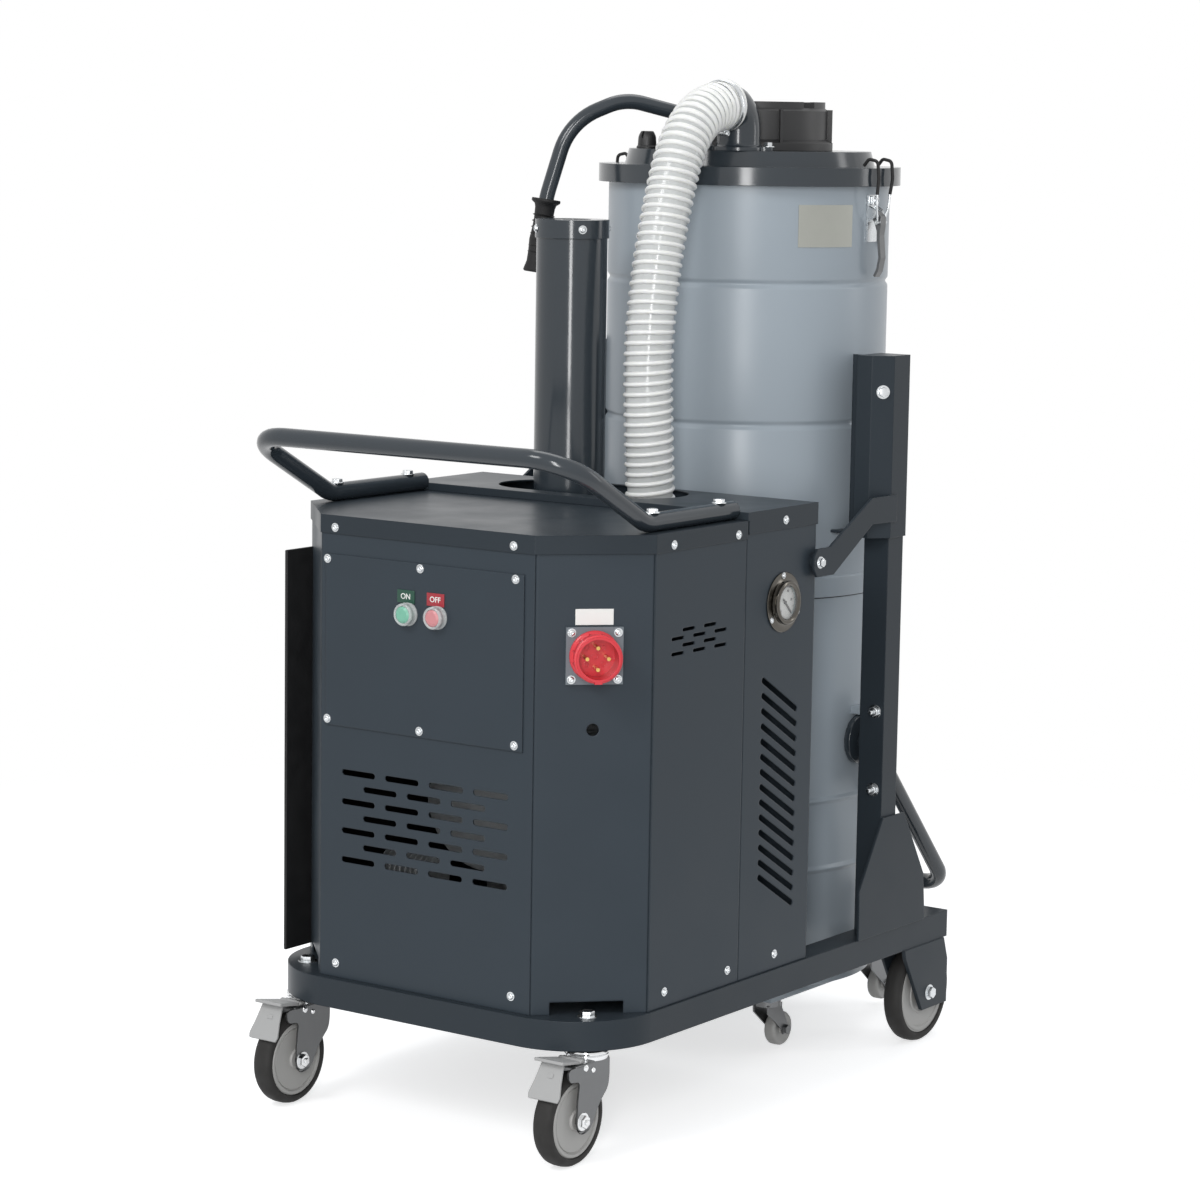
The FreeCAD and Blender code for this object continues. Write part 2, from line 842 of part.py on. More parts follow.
def rear_side_panel(side):
    """A rear side sheet with slanted louvres, and on the right the hole for the gauge."""
    body = new_body("RearSidePanel")
    start = back(s.seam_back + s.sheet / 2)
    end = back(s.cabinet_back - s.sheet)
    top = REAR_TOP - s.sheet
    corners = ((start, s.pan_top), (end, s.pan_top), (end, top), (start, top))
    height = PANEL_HALF - s.sheet if side > 0 else -PANEL_HALF
    pad(body, "YZ_Plane", height, corners, s.sheet)
    low = back(s.louvre_back + s.louvre_long)
    foot = (low, s.louvre_low - s.louvre_long * sine(s.louvre_slope) / cosine(s.louvre_slope))
    head = (back(s.louvre_back), s.louvre_low)
    slots(body, "YZ_Plane", height, [(head, foot)], s.louvre_high / 2, [("V_Axis", s.louvre_rise, 14)])
    if side < 0:
        return body
    hole = rod("X", (PANEL_HALF - s.sheet - OVER, PANEL_HALF + OVER), back(s.gauge_back), GAUGE_UP,
               s.gauge_case + s.gap)
    return cut(body, hole)


def back_panel():
    """The rear sheet of the cabinet, with its two side returns."""
    half = PANEL_HALF - s.sheet
    end = back(s.cabinet_back - s.sheet)
    sheet_part = block((-half, half), (end - s.sheet, end), (s.pan_top, REAR_TOP - s.sheet))
    folds = []
    for side in (1, -1):
        x = both(side, half - s.sheet, half)
        folds.append(block(x, (end - s.return_fold, end), (s.pan_top, REAR_TOP - s.sheet)))
    return fuse(sheet_part, *folds)


def lid_outline(inset, end):
    """The lid from above: a chamfer at each front corner."""
    half = s.lid_half - inset
    flat = s.lid_half - s.lid_chamfer - inset * (DIAGONAL - 1)
    turn = s.lid_chamfer + inset * (DIAGONAL - 1)
    right = ((half, back(end)), (half, back(turn)), (flat, back(inset)))
    left = [(-x, y) for x, y in reversed(right)]
    return [*right, *left]


def front_lid():
    """The front lid: a tray of sheet turned down over the panels."""
    low = s.lid_top - s.lid_drop
    outer = prism("XY", lid_outline(size(0), s.seam_back - s.seam_gap), (low, s.lid_top))
    inner = prism("XY", lid_outline(s.sheet, s.seam_back), (low - OVER, PANEL_TOP))
    return cut(outer, inner)


def rear_lid():
    """The rear lid, one step higher, with a long hole for the silencer and the hose."""
    t = s.sheet
    low = REAR_TOP - s.rear_lid_drop
    y = (back(s.seam_back), back(s.cabinet_back))
    shell = cut(
        block((-s.lid_half, s.lid_half), y, (low, REAR_TOP)),
        block((-PANEL_HALF, PANEL_HALF), (y[0] + t, y[1] - t), (low - OVER, REAR_TOP - t)),
        block((-s.lid_half - OVER, s.lid_half + OVER), (y[0] - OVER, y[0] + t + OVER), (low - OVER, s.lid_top)),
        *(block(both(side, PANEL_HALF - t, PANEL_HALF), (y[0] + t / 2, y[0] + t + OVER), (low - OVER, REAR_TOP - t))
          for side in (1, -1)),
    )
    high = (REAR_TOP - t - OVER, REAR_TOP + OVER)
    middle = back(s.lid_hole_back)
    r = s.lid_hole_radius
    hole = fuse(
        block((-s.lid_hole_left, s.lid_hole_right), (middle - r, middle + r), high),
        rod("Z", -s.lid_hole_left, middle, high, r),
        rod("Z", s.lid_hole_right, middle, high, r),
    )
    return cut(shell, hole)


def control_cover():
    """The cover over the switchgear, with a hole for each push button."""
    plate = block((-s.cover_left, s.cover_right), (back(0), back(s.sheet)), (s.cover_low, s.cover_high))
    holes = []
    for x in (s.on_x, s.off_x):
        y = (back(0) - OVER, back(s.sheet) + OVER)
        holes.append(rod("Y", x, y, BUTTON_UP, s.button_radius + s.gap))
    return cut(plate, *holes)


def button_bezels():
    """The two rubber boots round the push buttons."""
    rings = []
    for x in (s.on_x, s.off_x):
        profile = (
            (s.button_radius + s.gap, 0), (s.boot_radius - 1.5, 0), (s.boot_radius, s.boot_proud * 0.3),
            (s.boot_radius, s.boot_proud), (s.button_radius + s.gap, s.boot_proud),
        )
        rings.append(turned(profile, x, back(0) - s.boot_proud, BUTTON_UP, "Y"))
    return group(*rings)


def push_button(x):
    """A push button with a domed face and its stem."""
    r = s.button_radius
    deep = s.button_proud + s.button_deep
    profile = ((0, 0), (r * 0.75, 0), (r, 1.8), (r, deep * 0.6), (r * 0.5, deep * 0.6), (r * 0.5, deep), (0, deep))
    return turned(profile, x, back(0) - s.button_proud, BUTTON_UP, "Y")


def socket_plate():
    half = s.socket_plate / 2
    plate = cut(block((0, s.socket_thick), (-half, half), (-half, half)),
                rod("X", (-OVER, s.socket_thick + OVER), 0, 0, s.shroud_radius - s.shroud_wall))
    return chamfer_frame(group(plate), s.notch_middle + s.socket_ahead, s.socket_up)


def socket_shroud():
    """The round collar that guards the pins, with its keyway, and the insulator inside."""
    start = s.socket_thick
    collar = ring("X", (start, start + s.shroud_long), 0, 0, s.shroud_radius, s.shroud_radius - s.shroud_wall)
    key = block((start, start + s.shroud_long), (-5, 5), (-s.shroud_radius - 3, -s.shroud_radius + 1))
    bed = rod("X", (-s.pin_long / 2, start + 3), 0, 0, s.shroud_radius - s.shroud_wall)
    return chamfer_frame(group(fuse(collar, key, bed)), s.notch_middle + s.socket_ahead, s.socket_up)


def socket_pins():
    """Four contact pins on a circle."""
    pins = []
    count = SIZES["pin_count"]
    for turn in range(count):
        angle = 360 / count * turn
        y = s.pin_circle * cosine(angle)
        z = s.pin_circle * sine(angle)
        start = s.socket_thick + 3
        pins.append(rod("X", (start, start + s.pin_long), y, z, s.pin_radius))
    return chamfer_frame(group(*pins), s.notch_middle + s.socket_ahead, s.socket_up)


def gauge_case():
    """A round case with a fixing flange, a bezel and a dial floor."""
    face = PANEL_HALF
    proud = s.gauge_proud
    floor = proud - s.lens_thick * 3
    inner = s.gauge_case - s.gauge_wall
    profile = (
        (s.needle_axle + s.run, floor - 4), (s.needle_axle + s.run, floor), (inner, floor), (inner, proud),
        (s.gauge_bezel, proud), (s.gauge_bezel, s.gauge_flange_thick), (s.gauge_flange, s.gauge_flange_thick),
        (s.gauge_flange, 0), (s.gauge_case, 0), (s.gauge_case, -s.gauge_deep), (s.needle_axle + s.run, -s.gauge_deep),
    )
    return turned(profile, face, back(s.gauge_back), GAUGE_UP, "X")


def gauge_lens():
    face = PANEL_HALF + s.gauge_proud - s.lens_thick
    return rod("X", (face, face + s.lens_thick), back(s.gauge_back), GAUGE_UP, s.gauge_case - s.gauge_wall)


def gauge_needle():
    """The pointer on its own axle, resting at the dial's start."""
    face = PANEL_HALF + s.gauge_proud - s.lens_thick * 3 + s.gap
    y = back(s.gauge_back)
    half = s.needle_wide / 2
    hub = rod("X", (face, face + s.lens_thick), y, GAUGE_UP, s.needle_wide)
    axle = rod("X", (face - 3, face), y, GAUGE_UP, s.needle_axle)
    pointer = block((0, 1), (-half, half), (-s.needle_long, s.needle_long * 0.3))
    tilted = put(group(pointer), face + s.gap, y, GAUGE_UP, Rotation(Vector(1, 0, 0), 45))
    return fuse(hub, axle, tilted)


def handle_bar():
    """A bent tube lying on the lid, rising forwards to the grip."""
    up = s.lid_top + s.handle_radius
    x = s.handle_half
    grip_y = back(-s.handle_reach)
    grip_z = up + s.handle_rise
    end = back(s.seam_back) - s.gap
    points = [(x, end, up), (x, back(s.handle_bend_back), up), (x, grip_y, grip_z)]
    points += [(-px, py, pz) for px, py, pz in reversed(points)]
    radii = (s.handle_bend, s.handle_corner, s.handle_corner, s.handle_bend)
    return tube(points, radii, s.handle_radius, s.handle_wall)


def silencer():
    """The exhaust silencer: an outer shell with a top band round a perforated core."""
    r = s.silencer_radius
    t = s.silencer_wall
    low = s.silencer_port_up
    core = s.absorber_radius
    shell = ((core - t, low), (r, low), (r, s.silencer_top - s.band_high), (s.band_radius, s.silencer_top - s.band_high),
             (s.band_radius, s.silencer_top), (core - t, s.silencer_top))
    hollow = ((core, low + t), (r - t, low + t), (r - t, s.silencer_top - t * 2), (core, s.silencer_top - t * 2))
    y = back(s.blower_back)
    return cut(turned(shell, SILENCER_X, y, 0), turned(hollow, SILENCER_X, y, 0))


def blower_housing():
    """The side-channel blower's housing with its two ports and its foot."""
    x = s.blower_x
    y = back(s.blower_back)
    half = s.blower_wide / 2
    wall = s.blower_wall
    r = s.blower_radius
    up = s.blower_up
    ports = ((SILENCER_X, s.silencer_port_up), (HOSE_PORT_X, s.hose_port_up))
    body = [turned(((0, -half), (r - 22, -half), (r, -half + 22), (r, half - 22), (r - 22, half), (0, half)),
                   x, y, up, "Y")]
    holes = [rod("Y", x, (y - half + wall, y + half - wall), up, r - wall),
             rod("Y", x, (y - half - OVER, y), up, s.shaft_radius + s.run)]
    for port_x, top in ports:
        body.append(rod("Z", port_x, y, (up + r / 2, top), s.port_radius))
        holes.append(rod("Z", port_x, y, (up + r / 2, top + OVER), s.port_radius - s.port_wall))
    foot = s.foot_wide / 2
    body.append(block((x - foot, x + foot), (y - half, y + half), (s.pan_top, s.pan_top + s.foot_thick)))
    for side in (1, -1):
        leg = (x + (foot - s.foot_thick) * side, x + foot * side)
        leg = leg if side > 0 else leg[::-1]
        body.append(block(leg, (y - half, y + half), (s.pan_top, up - r / 2)))
    return cut(fuse(*body), *holes)


def blower_impeller():
    """The bladed wheel on the motor's shaft."""
    x = s.blower_x
    y = back(s.blower_back)
    up = s.blower_up
    half = s.impeller_wide / 2
    hub = s.impeller_radius - s.blade_deep
    disc = rod("Y", x, (y - half, y + half), up, hub)
    shaft = rod("Y", x, (back(s.motor_front + s.fin_high), y), up, s.shaft_radius)
    blades = []
    count = 20
    for turn in range(count):
        blade = block((hub - 2, s.impeller_radius), (-half, half), (-s.blade_thick / 2, s.blade_thick / 2))
        turned_blade = put(group(blade), x, y, up, Rotation(Vector(0, 1, 0), 360 / count * turn))
        blades.append(turned_blade)
    return fuse(disc, shaft, *blades)


def blower_motor():
    """The motor: a finned barrel with a fan cover at the front and a terminal box on top."""
    x = s.blower_x
    up = s.blower_up
    start = back(s.motor_front)
    end = back(s.blower_back) - s.blower_wide / 2
    barrel = rod("Y", x, (start, end), up, s.motor_radius)
    fins = []
    count = 16
    for turn in range(count):
        fin = block((s.motor_radius - 2, s.motor_radius + s.fin_high), (0, end - start - s.fin_high),
                    (-s.fin_thick / 2, s.fin_thick / 2))
        fins.append(put(group(fin), x, start, up, Rotation(Vector(0, 1, 0), 360 / count * (turn + 0.5))))
    cover = rod("Y", x, (start - s.fan_cover_long, start), up, s.fan_cover_radius)
    box = block((x - 45, x + 45), (start + 40, start + 130), (up + s.motor_radius - 10, up + s.motor_radius + 48))
    feet = block((x - 100, x + 100), (start + 20, start + 120), (s.pan_top, s.pan_top + s.foot_thick))
    column = block((x - 60, x + 60), (start + 30, start + 110), (s.pan_top, up - 50))
    bore = rod("Y", x, (start + s.fin_high - OVER, end + OVER), up, s.shaft_radius + s.run)
    return cut(fuse(barrel, cover, box, feet, column, *fins), bore)


def hose_points():
    """The hose's centre line: up through the lid, back in an even bend, and on to the elbow."""
    bend = ((-204, -303), (-162.6, -68.5), (-144.1, -36.5), (-115.8, -12.7))
    points = [(s.hose_back, s.hose_start_up)]
    points += [(ELBOW_BACK + behind, s.elbow_up + above) for behind, above in bend]
    turn_in = ELBOW_BACK - s.elbow_bend - 46
    points += [(turn_in, s.elbow_up), (ELBOW_BACK - s.elbow_bend, s.elbow_up)]
    return [(float(HOSE_PORT_X), float(back(y)), float(z)) for y, z in points]


def cord_radii(points):
    """The largest arcs that the runs of a flexible line allow."""
    corners = [Vector(*point) for point in points]
    radii = []
    for here in range(1, len(corners) - 1):
        before = corners[here - 1] - corners[here]
        after = corners[here + 1] - corners[here]
        half_turn = (math.pi - before.getAngle(after)) / 2
        radii.append(0.45 * min(before.Length, after.Length) / math.tan(half_turn))
    return radii


def suction_hose():
    """A ribbed hose: a smooth bore, and a rib for every pitch of its length."""
    points = hose_points()
    radii = cord_radii(points)
    path = tube_path(points, radii)
    count = round(path.Length / float(s.rib_pitch))
    pitch = path.Length / count
    flank = float(s.rib_flank)
    profile = ((flank, s.hose_crest), (1 - flank, s.hose_crest), (1, s.hose_valley))
    sections = [(0.0, s.hose_valley)]
    for rib in range(count):
        sections += [((rib + part) * pitch, radius) for part, radius in profile]
    circles = []
    lengths = [edge.Length for edge in path.Edges]
    for distance, radius in sections:
        here = 0
        while here < len(lengths) - 1 and distance > lengths[here]:
            distance -= lengths[here]
            here += 1
        edge = path.Edges[here]
        parameter = edge.getParameterByLength(min(distance, lengths[here]))
        centre = edge.valueAt(parameter)
        tangent = edge.tangentAt(parameter)
        circles.append(many_sided(centre, tangent, radius))
    ribs = Part.makeLoft(circles, True, True)
    least = min((Vector(*b) - Vector(*a)).Length for a, b in zip(points, points[1:]))
    print("hose length", round(path.Length, 1), "ribs", count, "pitch", round(pitch, 2),
          "least arc", round(min(radii), 1), "shortest run", round(least, 1),
          "gap between crests", round(2 * flank * pitch, 2))
    return solid("Hose", ribs.cut(swept(path, s.hose_bore)))


def hose_clamps():
    """A worm-drive band at each end of the hose."""
    r = s.hose_crest + s.gap
    wide = s.clamp_wide
    thick = s.clamp_thick
    up = s.hose_start_up + s.rib_pitch / 2
    y = back(s.hose_back)
    end = back(ELBOW_BACK - s.elbow_bend) - s.gap
    low = fuse(
        ring("Z", HOSE_PORT_X, y, (up, up + wide), r + thick, r),
        block((HOSE_PORT_X + r, HOSE_PORT_X + r + wide), (y - wide, y + wide), (up, up + wide)),
    )
    high = fuse(
        ring("Y", HOSE_PORT_X, (end - wide, end), s.elbow_up, r + thick, r),
        block((HOSE_PORT_X + 4, HOSE_PORT_X + 24), (end - wide, end), (s.elbow_up + r - 4, s.elbow_up + r + 8)),
    )
    bore = rod("Y", HOSE_PORT_X, (end - wide - OVER, end + OVER), s.elbow_up, r)
    return [low, cut(high, bore)]


def lid_elbow():
    """The bent pipe that takes the clean air from the lid to the hose."""
    r = s.elbow_radius
    t = s.elbow_wall
    bend = s.elbow_bend
    foot = s.plateau_top
    x = HOSE_PORT_X
    points = [(x, back(ELBOW_BACK), foot), (x, back(ELBOW_BACK), s.elbow_up),
              (x, back(ELBOW_BACK - bend - s.spigot_long), s.elbow_up)]
    path = tube_path(points, [bend])
    pipe = solid("Elbow", swept(path, r))
    hollow = solid("ElbowBore", swept(path, float(r) - float(t)))
    thick = s.elbow_flange_thick
    ears = block((-s.elbow_ear, s.elbow_ear), (-s.elbow_ear_half, s.elbow_ear_half), (0, thick))
    turn = math.degrees(math.atan2(float(x), float(s.cap_back - ELBOW_BACK)))
    flange = fuse(rod("Z", x, back(ELBOW_BACK), (foot, foot + thick), s.elbow_flange),
                  put(group(ears), x, back(ELBOW_BACK), foot, Rotation(Vector(0, 0, 1), turn)))
    through = rod("Z", x, back(ELBOW_BACK), (foot - OVER, foot + thick + OVER), r - t)
    return cut(fuse(pipe, flange), hollow, through)


def drum_posts():
    """Two square tubes that stand on the rails and carry the drum."""
    posts = []
    for side in (1, -1):
        t = s.post_wall
        z = (s.pan_top, s.post_top)
        outer = block(both(side, POST_IN, s.post_out), (back(s.post_back), back(POST_END)), z)
        inner = block(both(side, POST_IN + t, s.post_out - t), (back(s.post_back) + t, back(POST_END) - t),
                      (z[0] - OVER, z[1] + OVER))
        posts.append(cut(outer, inner))
    return group(*posts)


def post_plates():
    """The struts, gussets, pivot plates and drum saddles of both sides."""
    pieces = []
    for side in (1, -1):
        t = s.plate
        out = s.post_out
        gusset = ((632, s.pan_top), (818, s.pan_top), (811, 261), (751, 360.4), (692, 361.5), (631, 263.5))
        pieces.append(prism("YZ", [(back(y), z) for y, z in gusset], both(side, out, out + t)))
        strut = ((482, 742), (482, 760), (490, 770), (523, 770), (632, 829), (700, 829), (700, 790.5),
                 (634, 792), (533, 731), (490, 731))
        bar = prism("YZ", [(back(y), z) for y, z in strut], both(side, out + t, out + t * 2))
        spacer = rod("X", both(side, PANEL_HALF, out + t), back(497), 751, 11)
        skew = (DIAGONAL - 1) * t
        deep = s.bracket_deep
        corner_y = s.post_back - OVER
        wrap = ((out, POST_END), (out + t, POST_END), (out + t, corner_y - skew), (out - deep + skew, corner_y - deep - t),
                (POST_IN - t, corner_y - deep - t), (POST_IN - t, corner_y - deep), (out - deep, corner_y - deep),
                (out, corner_y))
        points = [(x * side, back(y)) for x, y in wrap]
        housing = prism("XY", points if side > 0 else points[::-1], (767, s.post_top))
        roof_plan = ((out + t, POST_END), (out + t, corner_y - skew), (out - deep + skew, corner_y - deep - t),
                     (POST_IN - t, corner_y - deep - t), (POST_IN - t, POST_END))
        points = [(x * side, back(y)) for x, y in roof_plan]
        roof = prism("XY", points if side > 0 else points[::-1], (s.post_top, s.post_top + t))
        tie = both(side, POST_IN - s.post_tie, POST_IN)
        saddle = block(tie, (back(s.post_back), back(POST_END)), (767, 767 + t))
        web = block(tie, (back(POST_END) - t, back(POST_END)), (767, s.post_top))
        drum = rod("Z", 0, DRUM_Y, (700, 1100), s.drum_radius)
        pieces.append(cut(fuse(bar, spacer, housing, roof, saddle, web), drum))
        pivot = (back(s.post_back + 8), back(s.pivot_back + 33))
        plate = block(both(side, POST_IN - t + 0.2, POST_IN), pivot, (s.pivot_up - 55, s.pivot_up + 70))
        stub = rod("X", both(side, s.cam_in + s.gap, POST_IN - t + 0.2), back(s.pivot_back), s.pivot_up, s.pivot_pin)
        pieces.append(fuse(plate, stub))
    return group(*pieces)


def drum_profile():
    """Half section of the drum, outside up and inside down."""
    r = s.drum_radius
    outside = [(r, s.drum_low)]
    for step in (0, 1):
        up = s.bead_up - s.bead_step / 2 + s.bead_step * step
        outside += [(r, up - s.bead_half), (r + s.bead_high, up), (r, up + s.bead_half)]
    for up in (s.groove_low_up, s.groove_high_up):
        outside += [(r, up - s.groove_half), (r - s.groove_deep, up), (r, up + s.groove_half)]
    top = s.drum_flange_up
    outside += [(r, top - s.flange_thick), (s.drum_flange, top - s.flange_thick), (s.drum_flange, top)]
    inner = r - s.drum_wall
    inside = [(inner, top)]
    for up in (s.groove_high_up, s.groove_low_up):
        deep = inner - s.groove_deep
        inside += [(inner, up + s.groove_half), (deep, up), (inner, up - s.groove_half)]
    inside += [(inner, s.drum_low)]
    return outside + inside


def filter_drum():
    """The drum that holds the filter, with the suction inlet at its rear."""
    shell = turned(drum_profile(), 0, DRUM_Y, 0)
    r = s.inlet_radius
    t = s.inlet_wall
    inner = s.drum_radius - s.drum_wall
    mouth = DRUM_Y + s.drum_radius + s.inlet_long
    pipe = rod("Y", 0, (DRUM_Y + inner - 2, mouth), s.inlet_up, r + t)
    body = rod("Z", 0, DRUM_Y, (s.inlet_up - 60, s.inlet_up + 60), inner)
    stub = cut(pipe, body)
    bore = rod("Y", 0, (DRUM_Y + inner / 2, mouth + OVER), s.inlet_up, r)
    return cut(fuse(shell, stub), bore)


def drum_lid():
    """The domed lid, with a hole for the elbow and one for the shaker's spindle."""
    t = s.lid_wall
    profile = (
        (0, s.plateau_top), (0, s.plateau_top - t), (s.plateau_radius - t, s.plateau_top - t),
        (s.plateau_base - t, s.rim_top - t), (s.rim_radius - t, s.rim_top - t), (s.rim_radius - t, s.rim_low),
        (s.rim_radius, s.rim_low), (s.rim_radius, s.rim_top), (s.plateau_base, s.rim_top),
        (s.plateau_radius, s.plateau_top),
    )
    shell = turned(profile, 0, DRUM_Y, 0)
    high = (s.plateau_top - t - OVER, s.plateau_top + OVER)
    return cut(
        shell,
        rod("Z", HOSE_PORT_X, back(ELBOW_BACK), high, s.elbow_radius - s.elbow_wall),
        rod("Z", 0, back(s.cap_back), high, s.spindle + s.run),
    )


def seals():
    """The gasket under the lid and the seal between the drum and the bin."""
    inner = s.drum_radius - s.drum_wall * 2
    lid_face = s.rim_top - s.lid_wall
    return group(
        ring("Z", 0, DRUM_Y, (lid_face - s.seal, lid_face), s.drum_flange, inner),
        ring("Z", 0, DRUM_Y, (s.bin_top + s.gap, s.drum_low), s.drum_radius + s.bead_high, inner),
    )


def filter_cartridge():
    """A pleated cartridge hung from a flange on top of the drum."""
    count = SIZES["pleats"] * 2
    points = []
    for corner in range(count):
        radius = s.pleat_out if corner % 2 else s.pleat_in
        angle = 360 / count * corner
        points.append((radius * cosine(angle), DRUM_Y + radius * sine(angle)))
    top = s.rim_top - s.lid_wall - s.seal
    pleated = prism("XY", points, (s.filter_low, s.drum_flange_up))
    hollow = rod("Z", 0, DRUM_Y, (s.filter_low + s.seal, top + OVER), s.pleat_in - s.seal * 3)
    flange = rod("Z", 0, DRUM_Y, (s.drum_flange_up, top), s.drum_flange)
    return cut(fuse(pleated, flange), hollow)


def relief_valve():
    """A tapered knob on the lid."""
    low = s.plateau_top
    r = s.relief_base
    profile = ((0, low), (r, low), (r, low + 3), (s.relief_tip + 3, low + 6), (s.relief_tip, low + s.relief_high - 2),
               (s.relief_tip - 2, low + s.relief_high), (0, low + s.relief_high))
    return turned(profile, s.relief_x, back(s.relief_back), 0)


def shaker_cap():
    """The ribbed cap with its castellated crown and the spindle through the lid."""
    low = s.plateau_top + s.gap
    shoulder = low + s.cap_skirt_high
    side = shoulder + s.cap_side_high
    top = side + s.cap_crown_high
    x = 0
    y = back(s.cap_back)
    profile = ((0, low), (s.cap_skirt, low), (s.cap_skirt, shoulder - 5), (s.cap_radius, shoulder), (s.cap_radius, side),
               (s.cap_crown, side + 4), (s.cap_crown, top), (s.cap_crown - s.cap_wall * 2, top),
               (s.cap_crown - s.cap_wall * 2, side), (0, side))
    body = turned(profile, x, y, 0)
    ribs = []
    gaps = []
    for turn in range(6):
        rib = block((s.cap_crown - 6, s.cap_skirt), (-s.cap_rib / 2, s.cap_rib / 2), (shoulder - 5, side + 2))
        ribs.append(put(group(rib), x, y, 0, Rotation(Vector(0, 0, 1), 60 * turn + 23)))
        gap = block((s.cap_crown - s.cap_wall * 3, s.cap_crown + OVER), (-s.crown_gap / 2, s.crown_gap / 2),
                    (top - s.crown_gap_deep, top + OVER))
        gaps.append(put(group(gap), x, y, 0, Rotation(Vector(0, 0, 1), 60 * turn + 53)))
    hollow = rod("Z", x, y, (low - OVER, side - s.cap_wall), s.cap_crown - s.cap_wall)
    spindle = rod("Z", x, y, (s.spindle_low, side - 1), s.spindle)
    return fuse(cut(fuse(body, *ribs), hollow, shaker_bar(), *gaps), spindle)


def shaker_route():
    """The lever's centre line, in an upright plane through the lid's axis."""
    corner = 1 / DIAGONAL
    route = ((96, 1358), (187, 1380), (268, 1346), (300, 1238), (314, 1136))
    return [(-radial * corner, float(DRUM_Y) - radial * corner, up) for radial, up in route]


def shaker_bar():
    return solid("ShakerBar", swept(tube_path(shaker_route(), [60, 45, 120]), s.shaker_radius))


def shaker_lever():
    """The lever of the shaker: a bent tube with a rubber grip on its end."""
    route = shaker_route()
    bar = shaker_bar()
    start = Vector(*route[-2])
    end = Vector(*route[-1])
    along = (end - start).normalize()
    r = float(s.grip_radius)
    flange = float(s.grip_flange)
    grip_start = start + along * 4
    length = (end - start).Length + 4
    outline = ((0, 0), (flange, 0), (flange, 5), (r, 9), (r * 0.92, 30), (r * 1.08, 60), (r, 85), (r * 1.25, length),
               (0, length))
    wire = Part.makePolygon([Vector(radius, 0, height) for radius, height in (*outline, outline[0])])
    shape = Part.Face(wire).revolve(Vector(0, 0, 0), Vector(0, 0, 1), 360)
    shape.Placement = Placement(grip_start, Rotation(Vector(0, 0, 1), along))
    grip = solid("ShakerGrip", shape)
    return fuse(bar, grip)


def on_drum(piece, side):
    """Stand a piece, built on the drum's axis with +X outwards, at a latch's place."""
    turn = 0 if side > 0 else 180
    angle = turn + SIZES["latch_turn"] * side
    return put(piece, 0, DRUM_Y, 0, Rotation(Vector(0, 0, 1), angle))


LATCH_FACE = s.drum_radius + s.sheet * 1.5
LATCH_X = s.drum_radius + s.latch_pivot_out
BAIL_X = LATCH_X + s.bail_out
BAIL_Z = s.latch_pivot_up - s.bail_drop


def latch_plate(side):
    """The latch's base: a flat plate with two ears and the pivot pin."""
    half = s.latch_half
    wing = ((-half, s.latch_low), (half, s.latch_low), (half, s.latch_low + 15), (half * 2.1, s.latch_low - 9),
            (half * 2.1, s.latch_pivot_up), (half, s.latch_top - 15), (half, s.latch_top), (-half, s.latch_top))
    plate = prism("YZ", wing, (s.drum_radius, LATCH_FACE))
    pieces = [plate, rod("Y", LATCH_X, (-half, half), s.latch_pivot_up, s.latch_pin)]
    for ear in (1, -1):
        inside = s.latch_lever_half + s.gap
        y = (inside, half) if ear > 0 else (-half, -inside)
        outline = ((LATCH_FACE - 1, s.latch_pivot_up - 12), (LATCH_X + 5, s.latch_pivot_up - 5),
                   (LATCH_X + 5, s.latch_pivot_up + 5), (LATCH_FACE - 1, s.latch_pivot_up + 12))
        pieces.append(prism("XZ", outline, y))
    return on_drum(group(fuse(*pieces)), side)


def latch_lever(side):
    """The latch's lever: its fork carries the bail, and its tongue hangs down."""
    up = s.latch_pivot_up
    x = LATCH_X
    outline = ((x - 4, up - 6), (x - 4, up + 4), (x + 3.6, up + 3.6), (BAIL_X + 5, up - 4), (BAIL_X + 5, BAIL_Z - 4),
               (x + 10, BAIL_Z - 18), (x + 13, 1160), (x + 9, 1140), (x + 4, 1132), (x + 1, 1134), (x + 6, 1144),
               (x + 9, 1160), (x + 5, BAIL_Z - 12), (x + 1, BAIL_Z))
    half = s.latch_lever_half
    tongue = prism("XZ", outline, (-half, half))
    pivot = rod("Y", x, (-half - OVER, half + OVER), up, s.latch_pin + s.run)
    pin_hole = rod("Y", BAIL_X, (-half - OVER, half + OVER), BAIL_Z, s.bail_pin + s.run)
    return on_drum(group(cut(tongue, pivot, pin_hole)), side)


def latch_bail(side):
    """The wire bail over the lid's rim."""
    legs = []
    for leg in (1, -1):
        y = float(s.bail_half) * leg
        x = float(BAIL_X)
        rim = float(s.rim_radius)
        top = float(s.rim_top)
        route = [(x, y, float(BAIL_Z)), (rim + 8, y, top - 15), (rim + 5.5, y, top + 10), (rim - 9, y, top + 13),
                 (rim - 17, y, top + 3.2)]
        path = tube_path(route, [40, 7, 5])
        legs.append(solid("BailLeg", swept(path, s.bail_wire)))
    half = s.bail_half + s.bail_wire + OVER
    bar = rod("Y", BAIL_X, (-half, half), BAIL_Z, s.bail_pin)
    return on_drum(group(fuse(bar, *legs)), side)


